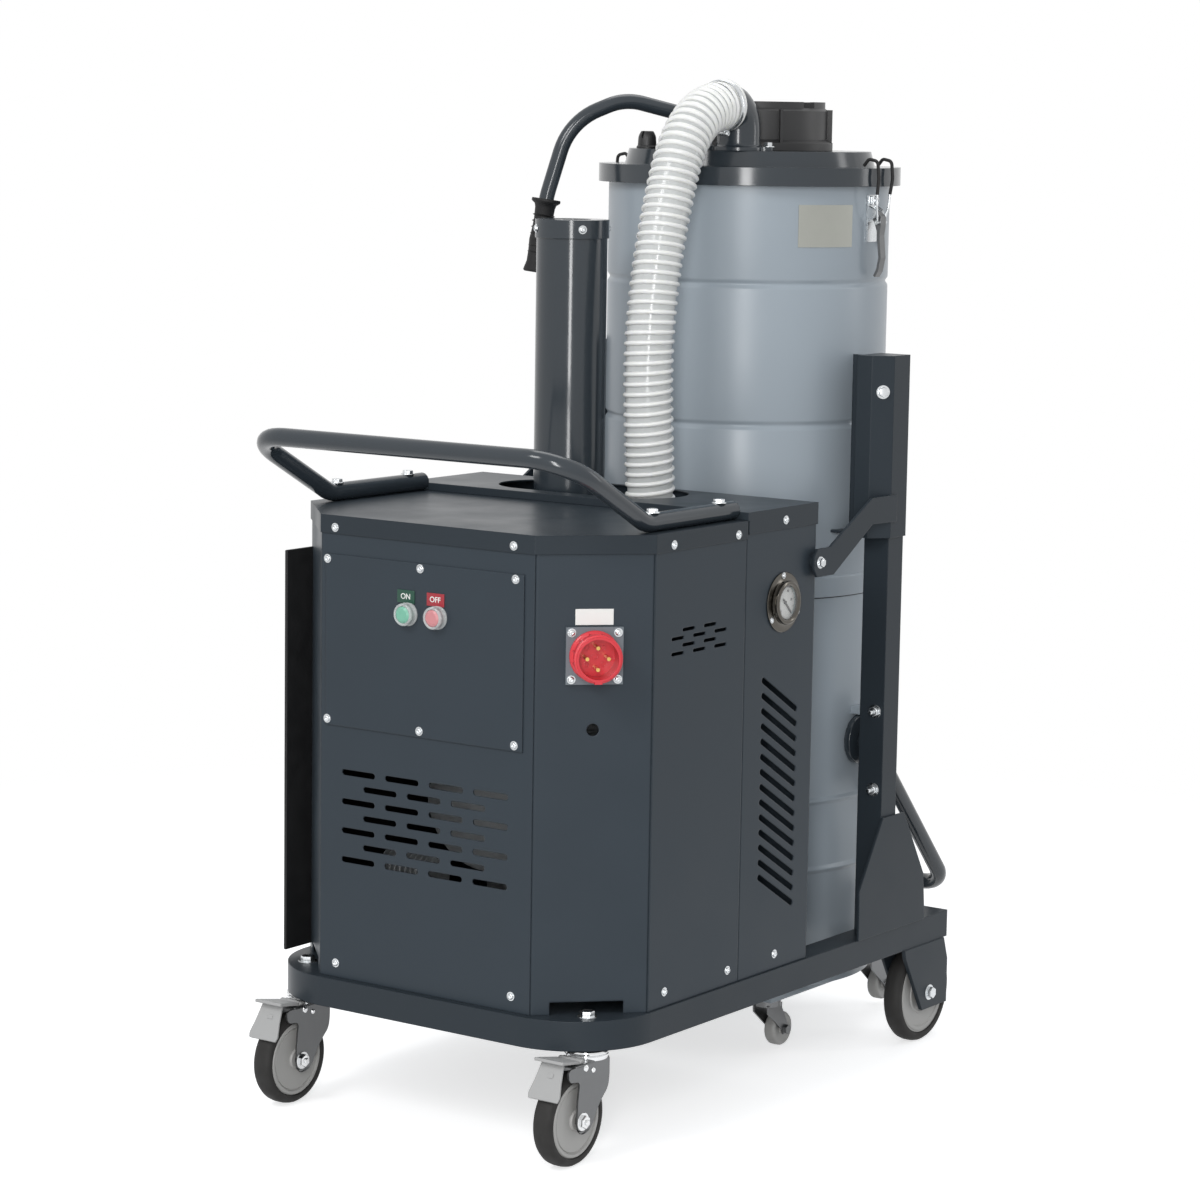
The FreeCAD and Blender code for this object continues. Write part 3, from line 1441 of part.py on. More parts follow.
def lift_lever():
    """The U-shaped lever that turns the two cams under the bin's lugs."""
    x = s.lever_half
    y = back(s.pivot_back)
    up = s.pivot_up
    points = [(x, y, up), (x, back(s.lever_back), s.lever_up)]
    points += [(-px, py, pz) for px, py, pz in reversed(points)]
    bar = tube(points, (s.lever_corner, s.lever_corner), s.lever_radius, s.lever_wall)
    pieces = [bar]
    holes = []
    cam_y = y - s.cam_throw * sine(s.cam_lead)
    cam_z = up + s.cam_throw * cosine(s.cam_lead)
    for side in (1, -1):
        pieces.append(rod("X", both(side, s.cam_in, s.cam_in + s.cam_thick), cam_y, cam_z, s.cam_radius))
        hub_end = x + s.lever_radius + s.hub_proud
        pieces.append(rod("X", both(side, s.cam_in, hub_end), y, up, s.hub_radius))
        holes.append(rod("X", both(side, s.cam_in - OVER, hub_end + OVER), y, up, s.pivot_pin + s.run))
    return cut(fuse(*pieces), *holes)


CAM_TOP = s.pivot_up + s.cam_throw * cosine(s.cam_lead) + s.cam_radius


def dust_bin():
    """The bin: a beaded drum on a dolly, with a lug over each cam and two fixed rear forks."""
    r = s.drum_radius
    t = s.drum_wall
    top = s.bin_top
    outside = [(0, s.bin_floor), (r, s.bin_floor)]
    for up in (s.bin_bead_low_up, s.bin_bead_high_up):
        outside += [(r, up - s.groove_half), (r + s.bead_high, up), (r, up + s.groove_half)]
    outside += [(r, top - s.bin_rim_high), (s.bin_rim, top - s.bin_rim_high), (s.bin_rim, top), (r - t, top)]
    floor = s.bin_floor + t
    shell = turned([*outside, (r - t, floor), (0, floor)], 0, DRUM_Y, 0)
    pieces = [shell]
    holes = []
    low = s.dolly_low
    bar = s.dolly_bar / 2
    for side in (1, -1):
        middle = s.bin_fork_x * side
        pieces.append(block((middle - bar, middle + bar), (back(s.dolly_front), back(s.drum_back + 95)), (low, s.bin_floor)))
        rear = s.bin_rear_x * side
        pieces.append(block((rear - bar, rear + bar), (back(s.drum_back + 95), back(s.dolly_end)), (low, s.bin_floor)))
        lug_y = (DRUM_Y - s.lug_wide / 2, DRUM_Y + s.lug_wide / 2)
        lug_z = (CAM_TOP + s.lift_play, CAM_TOP + s.lift_play + s.lug_high)
        pieces.append(block(both(side, r - t / 2, s.cam_in + s.cam_thick), lug_y, lug_z))
        holes.append(rod("Z", middle, back(s.bin_fork_back), (low - OVER, s.bin_floor - 2), s.bin_axle + s.run))
        pieces.append(castor_fork_shape(rear, back(s.bin_rear_back), s.bin_trail, low, s.bin_wheel_up, small_fork(), 1))
    for cross in (s.dolly_front + 12, s.drum_back + 95):
        pieces.append(block((-s.bin_fork_x, s.bin_fork_x), (back(cross), back(cross) + s.dolly_bar), (low, s.bin_floor)))
    return cut(fuse(*pieces), *holes)


def small_fork():
    """Head radius, half width inside, arm thickness and axle radius of the bin's castors."""
    return (size(20), s.bin_wheel_wide / 2 + s.side_play / 2, s.bin_fork_thick, s.bin_axle, size(9))


def big_fork():
    """The same for the castors of the frame."""
    return (s.castor_head, s.castor_wide / 2 + s.wheel_play, s.fork_thick, s.castor_axle, size(15))


def castor_fork_shape(x, y, trail, top, axle_up, fork, ahead):
    """A castor's fork: a head, a bridge and two arms down to the axle, which trails one way."""
    head, inside, thick, axle, arm = fork
    outside = inside + thick
    axle_y = y + trail * ahead
    reach = head * 0.95 * ahead
    bridge_low = top - head * 0.45
    pieces = [rod("Z", x, y, (bridge_low, top), head)]
    pieces.append(block((x - outside, x + outside),
                        (y - head * 0.5, y + head * 0.5), (bridge_low - thick, top - head * 0.3)))
    for side in (1, -1):
        arm_x = (x + inside, x + outside) if side > 0 else (x - outside, x - inside)
        outline = [
            (y - reach, bridge_low + thick), (y - reach * 0.95, bridge_low - arm), (axle_y - arm * ahead, axle_up),
            (axle_y - arm * 0.6 * ahead, axle_up - arm * 0.8), (axle_y + arm * 0.6 * ahead, axle_up - arm * 0.8),
            (axle_y + arm * ahead, axle_up), (y + reach, bridge_low - arm * 0.6), (y + reach, bridge_low + thick),
        ]
        pieces.append(prism("YZ", outline if ahead > 0 else outline[::-1], arm_x))
        nut = (x + outside, x + outside + thick * 2) if side > 0 else (x - outside - thick * 2, x - outside)
        pieces.append(hexagon("X", nut, axle_y, axle_up, axle * 1.7))
    pieces.append(rod("X", (x - outside, x + outside), axle_y, axle_up, axle))
    return fuse(*pieces)


def castor_fork(side):
    """A castor's fork, which swivels on the kingpin under the tray."""
    x = s.castor_x * side
    y = back(s.castor_back)
    top = SKIRT_LOW - s.gap
    shape = castor_fork_shape(x, y, s.castor_trail, top, s.castor_radius, big_fork(), -1)
    pin_x, pin_y, pin_z = pedal_pivot(side)
    inside = s.castor_wide / 2 + s.wheel_play
    ears = []
    for ear in (1, -1):
        low, high = both(ear, inside, inside + s.fork_thick)
        ears.append(block((x + low, x + high), (pin_y - 6, y), (pin_z - 7, pin_z + 7)))
    reach = inside + s.fork_thick + OVER
    return cut(
        fuse(shape, *ears),
        rod("Z", x, y, (top - s.castor_head, top + OVER), s.kingpin + s.run),
        rod("X", (pin_x - reach, pin_x + reach), pin_y, pin_z, s.pedal_pin + s.run),
    )


def pedal_pivot(side):
    """Where a castor's brake pedal turns."""
    return s.castor_x * side, back(s.castor_back) - s.castor_head - 4, SKIRT_LOW - s.gap - 14


def brake_pedal(side):
    """The castor's brake: a tread plate, an apron over the tyre and the pivot pin."""
    x, y, z = pedal_pivot(side)
    half = s.castor_wide / 2 + s.wheel_play
    wide = half - s.side_play / 2
    low = z + s.pedal_lift
    high = low + s.pedal_thick
    tread = prism("YZ", ((y - 66, low), (y - 66, high), (y + 2, z + 4), (y + 2, z - 2)), (x - wide, x + wide))
    apron = prism("YZ", ((y - 60, low + 2), (y - 66, high), (y - 76, z - 34), (y - 72, z - 36)), (x - wide, x + wide))
    pin_rod = rod("X", (x - half - s.fork_thick, x + half + s.fork_thick), y, z, s.pedal_pin)
    return fuse(tread, apron, pin_rod)


def wheel(x, y, z, radius, wide, axle):
    """A tyre on a dished centre with a hub."""
    half = wide / 2
    disc = radius * s.wheel_disc
    hub = axle * 2.2
    dish = half * s.wheel_dish
    crown = half * s.wheel_crown
    profile = ((axle + s.run, -half), (hub, -half), (disc, -dish), (radius, -crown), (radius, crown), (disc, dish),
               (hub, half), (axle + s.run, half))
    return turned(profile, x, y, z, "X")


def bin_fork(side):
    """A swivelling castor fork under the front of the dolly."""
    x = s.bin_fork_x * side
    y = back(s.bin_fork_back)
    top = s.dolly_low - s.gap
    shape = castor_fork_shape(x, y, s.bin_trail, top, s.bin_wheel_up, small_fork(), 1)
    stem = rod("Z", x, y, (top - 4, s.bin_floor - 3), s.bin_axle)
    return fuse(shape, stem)


def bolts_and_clamps():
    """The hose clamps, the kingpins and rear axles, and the bolts of the handle, struts and posts."""
    bolts = hose_clamps()
    for side in (1, -1):
        x = s.castor_x * side
        y = back(s.castor_back)
        top = s.pan_top
        low = SKIRT_LOW - s.gap - s.castor_head * 0.45
        bolts.append(fuse(rod("Z", x, y, (low, top), s.kingpin), hexagon("Z", x, y, (top, top + 8), 10)))
        plate = s.pan_half + s.sheet
        axle = rod("X", both(side, RAIL_IN, plate), back(s.rear_wheel_back), s.rear_wheel_radius, s.rear_axle)
        head = hexagon("X", both(side, plate, plate + 9), back(s.rear_wheel_back), s.rear_wheel_radius, 12)
        bolts.append(fuse(axle, head))
        up = s.lid_top + s.handle_radius * 2
        for along in (138, 294):
            bolts.append(hexagon("Z", s.handle_half * side, back(along), (up, up + 5), 9))
        strut = s.post_out + s.plate * 2
        for along, height in ((497, 751), (712, 810)):
            start = strut if along < 600 else s.post_out + s.plate
            bolts.append(hexagon("X", both(side, start, start + 6), back(along), height, 9))
        for height in (515, 401):
            bolts.append(hexagon("Y", (s.post_out - 15) * side, (back(s.post_back) - 6, back(s.post_back)), height, 9))
    return group(*bolts)


def build():
    """Make and name every sub-part."""
    keep("base_frame", base_frame())
    keep("front_panel", front_panel())
    for side, hand in ((1, "right"), (-1, "left")):
        keep(f"corner_panel_{hand}", corner_panel(side))
        keep(f"side_panel_{hand}", side_panel(side))
        keep(f"rear_side_panel_{hand}", rear_side_panel(side))
    keep("back_panel", back_panel())
    keep("front_lid", front_lid())
    keep("rear_lid", rear_lid())
    keep("control_cover", control_cover())
    keep("button_bezels", button_bezels())
    keep("on_button", push_button(s.on_x))
    keep("off_button", push_button(s.off_x))
    keep("socket_plate", socket_plate())
    keep("socket_shroud", socket_shroud())
    keep("socket_pins", socket_pins())
    keep("gauge_case", gauge_case())
    keep("gauge_lens", gauge_lens())
    keep("gauge_needle", gauge_needle())
    keep("handle_bar", handle_bar())
    keep("silencer", silencer())
    keep("blower_housing", blower_housing())
    keep("blower_motor", blower_motor())
    keep("blower_impeller", blower_impeller())
    keep("suction_hose", suction_hose())
    keep("lid_elbow", lid_elbow())
    keep("drum_posts", drum_posts())
    keep("post_plates", post_plates())
    keep("filter_drum", filter_drum())
    keep("drum_lid", drum_lid())
    keep("seals", seals())
    keep("filter_cartridge", filter_cartridge())
    keep("relief_valve", relief_valve())
    keep("shaker_cap", shaker_cap())
    keep("shaker_lever", shaker_lever())
    keep("lift_lever", lift_lever())
    keep("dust_bin", dust_bin())
    keep("bolts_and_clamps", bolts_and_clamps())
    for side, hand in ((1, "right"), (-1, "left")):
        keep(f"latch_plate_{hand}", latch_plate(side))
        keep(f"latch_lever_{hand}", latch_lever(side))
        keep(f"latch_bail_{hand}", latch_bail(side))
        keep(f"castor_fork_{hand}", castor_fork(side))
        keep(f"castor_wheel_{hand}", wheel(s.castor_x * side, CASTOR_AXLE_Y, s.castor_radius, s.castor_radius,
                                           s.castor_wide, s.castor_axle))
        keep(f"brake_pedal_{hand}", brake_pedal(side))
        keep(f"rear_wheel_{hand}", wheel(WHEEL_X * side, back(s.rear_wheel_back), s.rear_wheel_radius,
                                         s.rear_wheel_radius, s.rear_wheel_wide, s.rear_axle))
        keep(f"bin_fork_{hand}", bin_fork(side))
        keep(f"bin_front_wheel_{hand}", wheel(s.bin_fork_x * side, back(s.bin_fork_back + s.bin_trail), s.bin_wheel_up,
                                              s.bin_wheel_radius, s.bin_wheel_wide, s.bin_axle))
        keep(f"bin_rear_wheel_{hand}", wheel(s.bin_rear_x * side, back(s.bin_rear_back + s.bin_trail), s.bin_wheel_up,
                                             s.bin_wheel_radius, s.bin_wheel_wide, s.bin_axle))


def export():
    """Check every object, then write one file for each sub-part."""
    doc.recompute()
    for piece in doc.Objects:
        if "Invalid" in piece.State or "Error" in piece.State:
            raise RuntimeError(f"{piece.Label} failed: {piece.State}")
    os.makedirs("parts", exist_ok=True)
    for name, piece in PARTS.items():
        shape = piece.Shape
        if shape.isNull() or not shape.isValid() or not shape.Solids:
            raise RuntimeError(f"{name} has no valid shape")
        shape.exportStep(f"parts/{name}.step")


build()
export()
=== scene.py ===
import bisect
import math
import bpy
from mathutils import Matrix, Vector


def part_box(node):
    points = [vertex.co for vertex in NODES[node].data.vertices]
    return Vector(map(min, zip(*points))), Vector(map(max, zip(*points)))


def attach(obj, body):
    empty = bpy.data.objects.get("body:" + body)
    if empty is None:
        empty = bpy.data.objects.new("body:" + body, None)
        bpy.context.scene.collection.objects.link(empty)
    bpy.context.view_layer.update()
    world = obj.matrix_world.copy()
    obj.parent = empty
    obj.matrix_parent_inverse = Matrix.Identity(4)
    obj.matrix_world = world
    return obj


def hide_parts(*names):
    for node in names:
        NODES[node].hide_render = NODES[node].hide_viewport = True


bl_info = {
    "name": "Wheeled Vacuum Cleaner",
    "version": (1, 0, 0),
    "blender": (4, 5, 0),
    "location": "3D View > Sidebar > Cleaner",
    "description": "Dresses the packed model of an industrial vacuum cleaner and lights it",
    "category": "Object",
}

import bmesh
import bpy
from mathutils import Matrix, Vector

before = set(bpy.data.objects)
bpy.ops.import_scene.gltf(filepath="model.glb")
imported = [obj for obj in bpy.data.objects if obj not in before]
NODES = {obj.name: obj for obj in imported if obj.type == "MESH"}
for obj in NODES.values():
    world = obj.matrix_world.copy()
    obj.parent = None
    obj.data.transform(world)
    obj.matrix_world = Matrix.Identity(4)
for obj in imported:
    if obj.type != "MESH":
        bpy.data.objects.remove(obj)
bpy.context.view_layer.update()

# Real sizes are written in millimetres. A place is given as x from the middle, the distance
# behind the front edge of the cabinet's lid, and the height over the floor.
MM = 0.001
LID_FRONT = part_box("front_lid")[0].y
HALF_TURN = math.pi
RIGHT, BACK, UP = Vector((1, 0, 0)), Vector((0, 1, 0)), Vector((0, 0, 1))
CORNER_OUT = Vector((1, -1, 0)).normalized()
SIDES = (("right", 1), ("left", -1))

# The photograph is square; its camera was worked out from the cabinet and the drum.
PHOTO_SIDE = 1200
FOCAL_PIXELS = 3510.1
SENSOR = 36.0
CAMERA_PLACE = (2831.3, -3585.8, 1363.6)
CAMERA_YAW, CAMERA_PITCH, CAMERA_ROLL = 35.41, 7.95, 0.91

CASTOR_X, CASTOR_BACK, CASTOR_AXLE_BACK, CASTOR_AXLE_UP = 237.9, 47.8, 8.8, 62.5
TRAY_TOP = 191.0
REAR_WHEEL_X, REAR_WHEEL_BACK, REAR_WHEEL_UP = 271.15, 841.5, 75.0
BIN_FORK_X, BIN_FORK_BACK, BIN_REAR_X, BIN_REAR_BACK = 146.0, 629.0, 123.0, 957.0
BIN_TRAIL, BIN_AXLE_UP, DOLLY_LOW, BIN_FLOOR = 30.0, 34.3, 84.0, 100.0
DRUM_BACK, DRUM_RADIUS, DRUM_WALL, SEAM_UP = 757.8, 205.7, 2.5, 672.0
HOSE_X, HOSE_BORE, HOSE_FILM, RIB_MIDDLE, RIB_ROUND, HOSE_COILS = 64.0, 31.0, 31.8, 32.0, 3.3, 53
ELBOW_BACK, ELBOW_UP, ELBOW_RADIUS = 629.0, 1373.0, 31.0
PLATEAU_UP = 1309.0
INLET_BACK, INLET_UP, INLET_X = 57.0, 666.5, 233.6
GAUGE_BACK, GAUGE_UP, GAUGE_X = 420.0, 703.0, 289.0
BUTTON_UP, ON_X, OFF_X = 701.5, -28.0, 21.4
LATCH_TURN, BAIL_OUT, BAIL_UP, RIM_RADIUS, RIM_TOP = 1.5, 221.7, 1210.0, 220.7, 1287.0
WASHER, INK = 1.0, 0.15


def linear(code):
    """An sRGB hex colour as linear red, green and blue."""
    parts = [int(code[place:place + 2], 16) / 255 for place in (0, 2, 4)]
    return [p / 12.92 if p <= 0.04045 else ((p + 0.055) / 1.055) ** 2.4 for p in parts]


def at(x, behind, up):
    """A place on the machine, from millimetres to the frame's metres."""
    return Vector((x * MM, LID_FRONT + behind * MM, up * MM))


def facing(origin, normal, up=UP, turn=0.0):
    """A matrix whose Z points along a direction and whose Y keeps as near upwards as it can."""
    ahead = Vector(normal).normalized()
    side = Vector(up).cross(ahead)
    side = side.normalized() if side.length > 1e-6 else RIGHT.copy()
    matrix = Matrix((side, ahead.cross(side), ahead)).transposed().to_4x4()
    matrix.translation = origin
    return matrix @ Matrix.Rotation(turn, 4, "Z")


# Shapes


def join(bm, made, matrix):
    """Move a finished shape to its place and add it."""
    made.transform(matrix)
    mesh = bpy.data.meshes.new("shape")
    made.to_mesh(mesh)
    made.free()
    bm.from_mesh(mesh)
    bpy.data.meshes.remove(mesh)


def lathe(bm, profile, matrix, steps=64, closed=False):
    """A half section of (radius, height) in millimetres, spun about Z."""
    made = bmesh.new()
    verts = [made.verts.new((radius * MM, 0, height * MM)) for radius, height in profile]
    pairs = list(zip(verts, verts[1:])) + ([(verts[-1], verts[0])] if closed else [])
    edges = [made.edges.new(pair) for pair in pairs]
    bmesh.ops.spin(made, geom=verts + edges, cent=(0, 0, 0), axis=(0, 0, 1), angle=2 * HALF_TURN,
                   steps=steps, use_merge=True, use_duplicate=False)
    bmesh.ops.remove_doubles(made, verts=made.verts, dist=1e-6)
    join(bm, made, matrix)


def slab(bm, size, matrix, edge=0.0, segments=3):
    """A block of three sizes in millimetres about the origin, with rounded edges."""
    made = bmesh.new()
    bmesh.ops.create_cube(made, size=1.0, matrix=Matrix.Diagonal((*(value * MM for value in size), 1)))
    if edge:
        bmesh.ops.bevel(made, geom=made.edges[:], offset=edge * MM, segments=segments, profile=0.5,
                        affect="EDGES", material=-1)
    join(bm, made, matrix)


def sheet(bm, outline, thick, matrix, corners=0.0, segments=5):
    """A flat outline in millimetres, given a thickness along Z, with its corners rounded."""
    made = bmesh.new()
    face = made.faces.new([made.verts.new((x * MM, y * MM, 0)) for x, y in outline])
    top = [part for part in bmesh.ops.extrude_face_region(made, geom=[face])["geom"]
           if isinstance(part, bmesh.types.BMVert)]
    bmesh.ops.translate(made, vec=(0, 0, thick * MM), verts=top)
    if corners:
        upright = [edge for edge in made.edges if abs(edge.verts[0].co.z - edge.verts[1].co.z) > thick * MM / 2]
        bmesh.ops.bevel(made, geom=upright, offset=corners * MM, segments=segments, profile=0.5,
                        affect="EDGES", material=-1)
    join(bm, made, matrix)


def pipe(bm, corners, bends, radius):
    """A rigid tube of straight lengths and true arcs, with closed ends."""
    curve = bpy.data.curves.new("pipe", "CURVE")
    curve.dimensions = "3D"
    curve.bevel_depth = radius * MM
    curve.bevel_resolution = 8
    curve.resolution_u = 10
    curve.use_fill_caps = True
    places, pulls = [corners[0]], []
    for before, here, after, bend in zip(corners, corners[1:], corners[2:], bends):
        inward, outward = (here - before).normalized(), (after - here).normalized()
        turn = inward.angle(outward)
        reach = bend * MM * math.tan(turn / 2)
        pull = bend * MM * math.tan(turn / 4) * 4 / 3
        places += [here - inward * reach, here + outward * reach]
        pulls += [inward * pull, outward * pull]
    places.append(corners[-1])
    spline = curve.splines.new("BEZIER")
    spline.bezier_points.add(len(places) - 1)
    knots = list(spline.bezier_points)
    for knot, place in zip(knots, places):
        knot.handle_left_type = knot.handle_right_type = "FREE"
        knot.co = knot.handle_left = knot.handle_right = place
    for index, (one, two) in enumerate(zip(knots, knots[1:])):
        third = (two.co - one.co) / 3
        leave, arrive = (pulls[index - 1], pulls[index]) if index % 2 else (third, third)
        one.handle_right = one.co + leave
        two.handle_left = two.co - arrive
    add_curve(bm, curve)


def add_curve(bm, curve, matrix=None):
    """Turn a curve or a text into mesh and add it."""
    holder = bpy.data.objects.new(curve.name, curve)
    bpy.context.scene.collection.objects.link(holder)
    bpy.context.view_layer.update()
    mesh = bpy.data.meshes.new_from_object(holder.evaluated_get(bpy.context.evaluated_depsgraph_get()))
    bpy.data.objects.remove(holder)
    made = bmesh.new()
    made.from_mesh(mesh)
    join(bm, made, matrix or Matrix())


def hex_head(bm, matrix, radius, high):
    """A bolt head with a chamfered top on its washer."""
    made = bmesh.new()
    bmesh.ops.create_cone(made, cap_ends=True, segments=6, radius1=radius * MM, radius2=radius * MM,
                          depth=high * MM, matrix=Matrix.Translation((0, 0, (WASHER + high / 2) * MM)))
    top = max(made.faces, key=lambda face: face.calc_center_median().z)
    bmesh.ops.bevel(made, geom=top.edges[:], offset=radius * 0.12 * MM, segments=2, profile=0.5,
                    affect="EDGES", material=-1)
    join(bm, made, matrix)
    lathe(bm, ((0, WASHER), (radius * 1.3, WASHER), (radius * 1.35, WASHER / 2), (radius * 1.35, 0)), matrix, 32)


def screw(bm, matrix, radius):
    """A pan-head screw with a driver recess, on its washer."""
    top, lip, deep = radius * 0.8, radius * 0.4, radius * 0.35
    lathe(bm, ((0, top - deep), (lip, top - deep), (lip, top), (radius * 0.62, top), (radius * 0.9, top * 0.8),
               (radius, top * 0.5), (radius, WASHER)), matrix, 24)
    lathe(bm, ((radius * 0.8, WASHER), (radius * 1.36, WASHER), (radius * 1.42, WASHER / 2), (radius * 1.42, 0)),
          matrix, 24)


def words(bm, text, high, matrix):
    """Flat lettering of a given height, centred."""
    font = bpy.data.curves.new("words", "FONT")
    font.body = text
    font.size = high * MM * 1.38
    font.align_x, font.align_y = "CENTER", "CENTER"
    font.extrude = INK * MM
    font.offset = high * MM * 0.02
    add_curve(bm, font, matrix)


def piece(name, bm, finish, body="root", replaces=(), edge=0.0, split=35, merge=True):
    """Turn a finished mesh into a piece of the machine that rides on a body."""
    if merge:
        bmesh.ops.remove_doubles(bm, verts=bm.verts, dist=1e-6)
    bmesh.ops.recalc_face_normals(bm, faces=bm.faces)
    mesh = bpy.data.meshes.new(name)
    bm.to_mesh(mesh)
    bm.free()
    mesh.materials.append(FINISHES[finish])
    mesh.polygons.foreach_set("use_smooth", [True] * len(mesh.polygons))
    mesh.set_sharp_from_angle(angle=math.radians(split))
    made = bpy.data.objects.new(name, mesh)
    bpy.context.scene.collection.objects.link(made)
    if edge:
        bevel = made.modifiers.new("edges", "BEVEL")
        bevel.width = edge * MM
        bevel.segments = 2
        bevel.limit_method = "ANGLE"
        bevel.angle_limit = math.radians(40)
    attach(made, body)
    if replaces:
        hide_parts(*replaces)
    return made


# Finishes

FINISHES = {}


def add(tree, kind, settings=(), links=()):
    """Add a node, set its sockets or its own settings, and link its inputs."""
    node = tree.nodes.new(kind)
    for name, value in dict(settings).items():
        if name in node.inputs:
            node.inputs[name].default_value = value
        else:
            setattr(node, name, value)
    for name, source in dict(links).items():
        tree.links.new(source, node.inputs[name])
    return node


def blank(name, settings):
    """A material with its principled shader, the shader's tree and its object coordinates."""
    material = bpy.data.materials.new(name)
    material.use_nodes = True
    tree = material.node_tree
    tree.nodes.clear()
    shader = add(tree, "ShaderNodeBsdfPrincipled", settings)
    output = add(tree, "ShaderNodeOutputMaterial")
    tree.links.new(shader.outputs["BSDF"], output.inputs["Surface"])
    place = add(tree, "ShaderNodeTexCoord").outputs["Object"]
    FINISHES[name] = material
    return tree, shader, place


def shaded(colour, factor):
    """A colour made lighter or darker, as the four numbers of a socket."""
    return (*(min(1.0, value * factor) for value in colour), 1.0)


def grained(name, colour, settings, grain, depth, drift, drift_size=90.0, soft_edge=0.0, rough=()):
    """A surface with fine relief, a slow drift of its colour and, if asked, of its roughness."""
    tree, shader, place = blank(name, settings)
    relief = add(tree, "ShaderNodeTexNoise", {"Scale": 1 / (grain * MM), "Detail": 3.0}, {"Vector": place})
    bump = add(tree, "ShaderNodeBump", {"Strength": 1.0, "Distance": depth * MM},
               {"Height": relief.outputs["Fac"]})
    if soft_edge:
        edges = add(tree, "ShaderNodeBevel", {"samples": 6, "Radius": soft_edge * MM})
        tree.links.new(edges.outputs["Normal"], bump.inputs["Normal"])
    tree.links.new(bump.outputs["Normal"], shader.inputs["Normal"])
    slow = add(tree, "ShaderNodeTexNoise", {"Scale": 1 / (drift_size * MM), "Detail": 4.0}, {"Vector": place})
    mix = add(tree, "ShaderNodeMix", {"data_type": "RGBA"})
    tree.links.new(slow.outputs["Fac"], mix.inputs["Factor"])
    mix.inputs[6].default_value = shaded(colour, 1 - drift)
    mix.inputs[7].default_value = shaded(colour, 1 + drift)
    tree.links.new(mix.outputs[2], shader.inputs["Base Color"])
    if rough:
        spread = add(tree, "ShaderNodeMapRange", {"From Min": 0.3, "From Max": 0.7, "To Min": rough[0],
                                                  "To Max": rough[1]}, {"Value": slow.outputs["Fac"]})
        tree.links.new(spread.outputs["Result"], shader.inputs["Roughness"])
    return tree, shader, place


def satin_powder_coat(colours):
    """Polyester powder coat on the cabinet: a satin skin with a fine even peel."""
    grained("satin_powder_coat", colours.cabinet, {"Specular IOR Level": 0.16}, 1.1, 0.012, 0.04,
            soft_edge=3.2, rough=(0.32, 0.42))


def frame_powder_coat(colours):
    """Powder coat on the lids, the base and the posts: satin, a shade darker than the cabinet."""
    grained("frame_powder_coat", colours.enamel, {"Specular IOR Level": 0.16}, 1.4, 0.012, 0.04, soft_edge=2.0,
            rough=(0.3, 0.4))


def gloss_enamel(colours):
    """Stoved enamel on the silencer, the drum's lid and the tubes: a wet, nearly smooth gloss."""
    grained("gloss_enamel", colours.enamel, {"Specular IOR Level": 0.5}, 6.0, 0.008, 0.03, soft_edge=1.5,
            rough=(0.12, 0.19))


def drum_enamel(colours):
    """Blue-grey enamel sprayed on rolled sheet: semi-gloss, with soft long ripples."""
    grained("drum_enamel", colours.drum, {"Specular IOR Level": 0.4}, 6.0, 0.014, 0.02, 140.0, 1.0,
            (0.28, 0.36))


def bright_zinc(colours):
    """Blue-passivated zinc on screws and bolts: bright, with a faint milky cast."""
    grained("bright_zinc", colours.zinc, {"Metallic": 1.0}, 0.6, 0.01, 0.08, 12.0, 0.0, (0.2, 0.34))


def pressed_steel(colours):
    """Zinc-plated pressings: duller than the screws, with rolling marks along the sheet."""
    tree, shader, place = grained("pressed_steel", colours.pressing, {"Metallic": 1.0}, 1.0, 0.008, 0.06, 30.0, 0.6)
    stretch = add(tree, "ShaderNodeMapping", {"Scale": (1, 1, 0.06)}, {"Vector": place})
    marks = add(tree, "ShaderNodeTexNoise", {"Scale": 900.0, "Detail": 2.0}, {"Vector": stretch.outputs["Vector"]})
    spread = add(tree, "ShaderNodeMapRange", {"To Min": 0.3, "To Max": 0.44}, {"Value": marks.outputs["Fac"]})
    tree.links.new(spread.outputs["Result"], shader.inputs["Roughness"])


def chrome_plate(colours):
    """Chrome on the castor heads: a mirror with light handling marks."""
    grained("chrome_plate", colours.chrome, {"Metallic": 1.0}, 4.0, 0.004, 0.02, 20.0, 0.0, (0.07, 0.16))


def polished_steel(colours):
    """The gauge's case: stainless steel polished on a wheel, darker than chrome, with fine swirls."""
    grained("polished_steel", colours.case, {"Metallic": 1.0}, 2.0, 0.006, 0.12, 9.0, 0.0, (0.06, 0.22))


def black_nylon(colours):
    """Moulded glass-filled nylon of the cap: a leathery matt grain of about a millimetre."""
    grained("black_nylon", colours.nylon, {}, 0.9, 0.02, 0.1, 60.0, 0.8, (0.38, 0.5))


def black_rubber(colours):
    """Moulded rubber of the sleeves, grip and seals: almost no gloss."""
    grained("black_rubber", colours.rubber, {"Specular IOR Level": 0.4}, 0.7, 0.02, 0.15, 25.0, 0.0, (0.55, 0.7))


def tyre_rubber(colours):
    """Solid grey-black rubber of the tyres: matt, a little dusty on the tread."""
    grained("tyre_rubber", colours.tyre, {"Specular IOR Level": 0.35}, 1.2, 0.04, 0.14, 18.0, 0.0, (0.62, 0.8))


def grey_polypropylene(colours):
    """Wheel centres of polypropylene: a waxy half-matt skin."""
    grained("grey_polypropylene", colours.centre, {}, 1.6, 0.012, 0.03, 40.0, 0.6, (0.4, 0.5))


def pale_polyamide(colours):
    """Brake pedals of pale polyamide: soft sheen and a fine spark-eroded grain."""
    grained("pale_polyamide", colours.pedal, {}, 0.8, 0.02, 0.03, 30.0, 0.0, (0.45, 0.55))


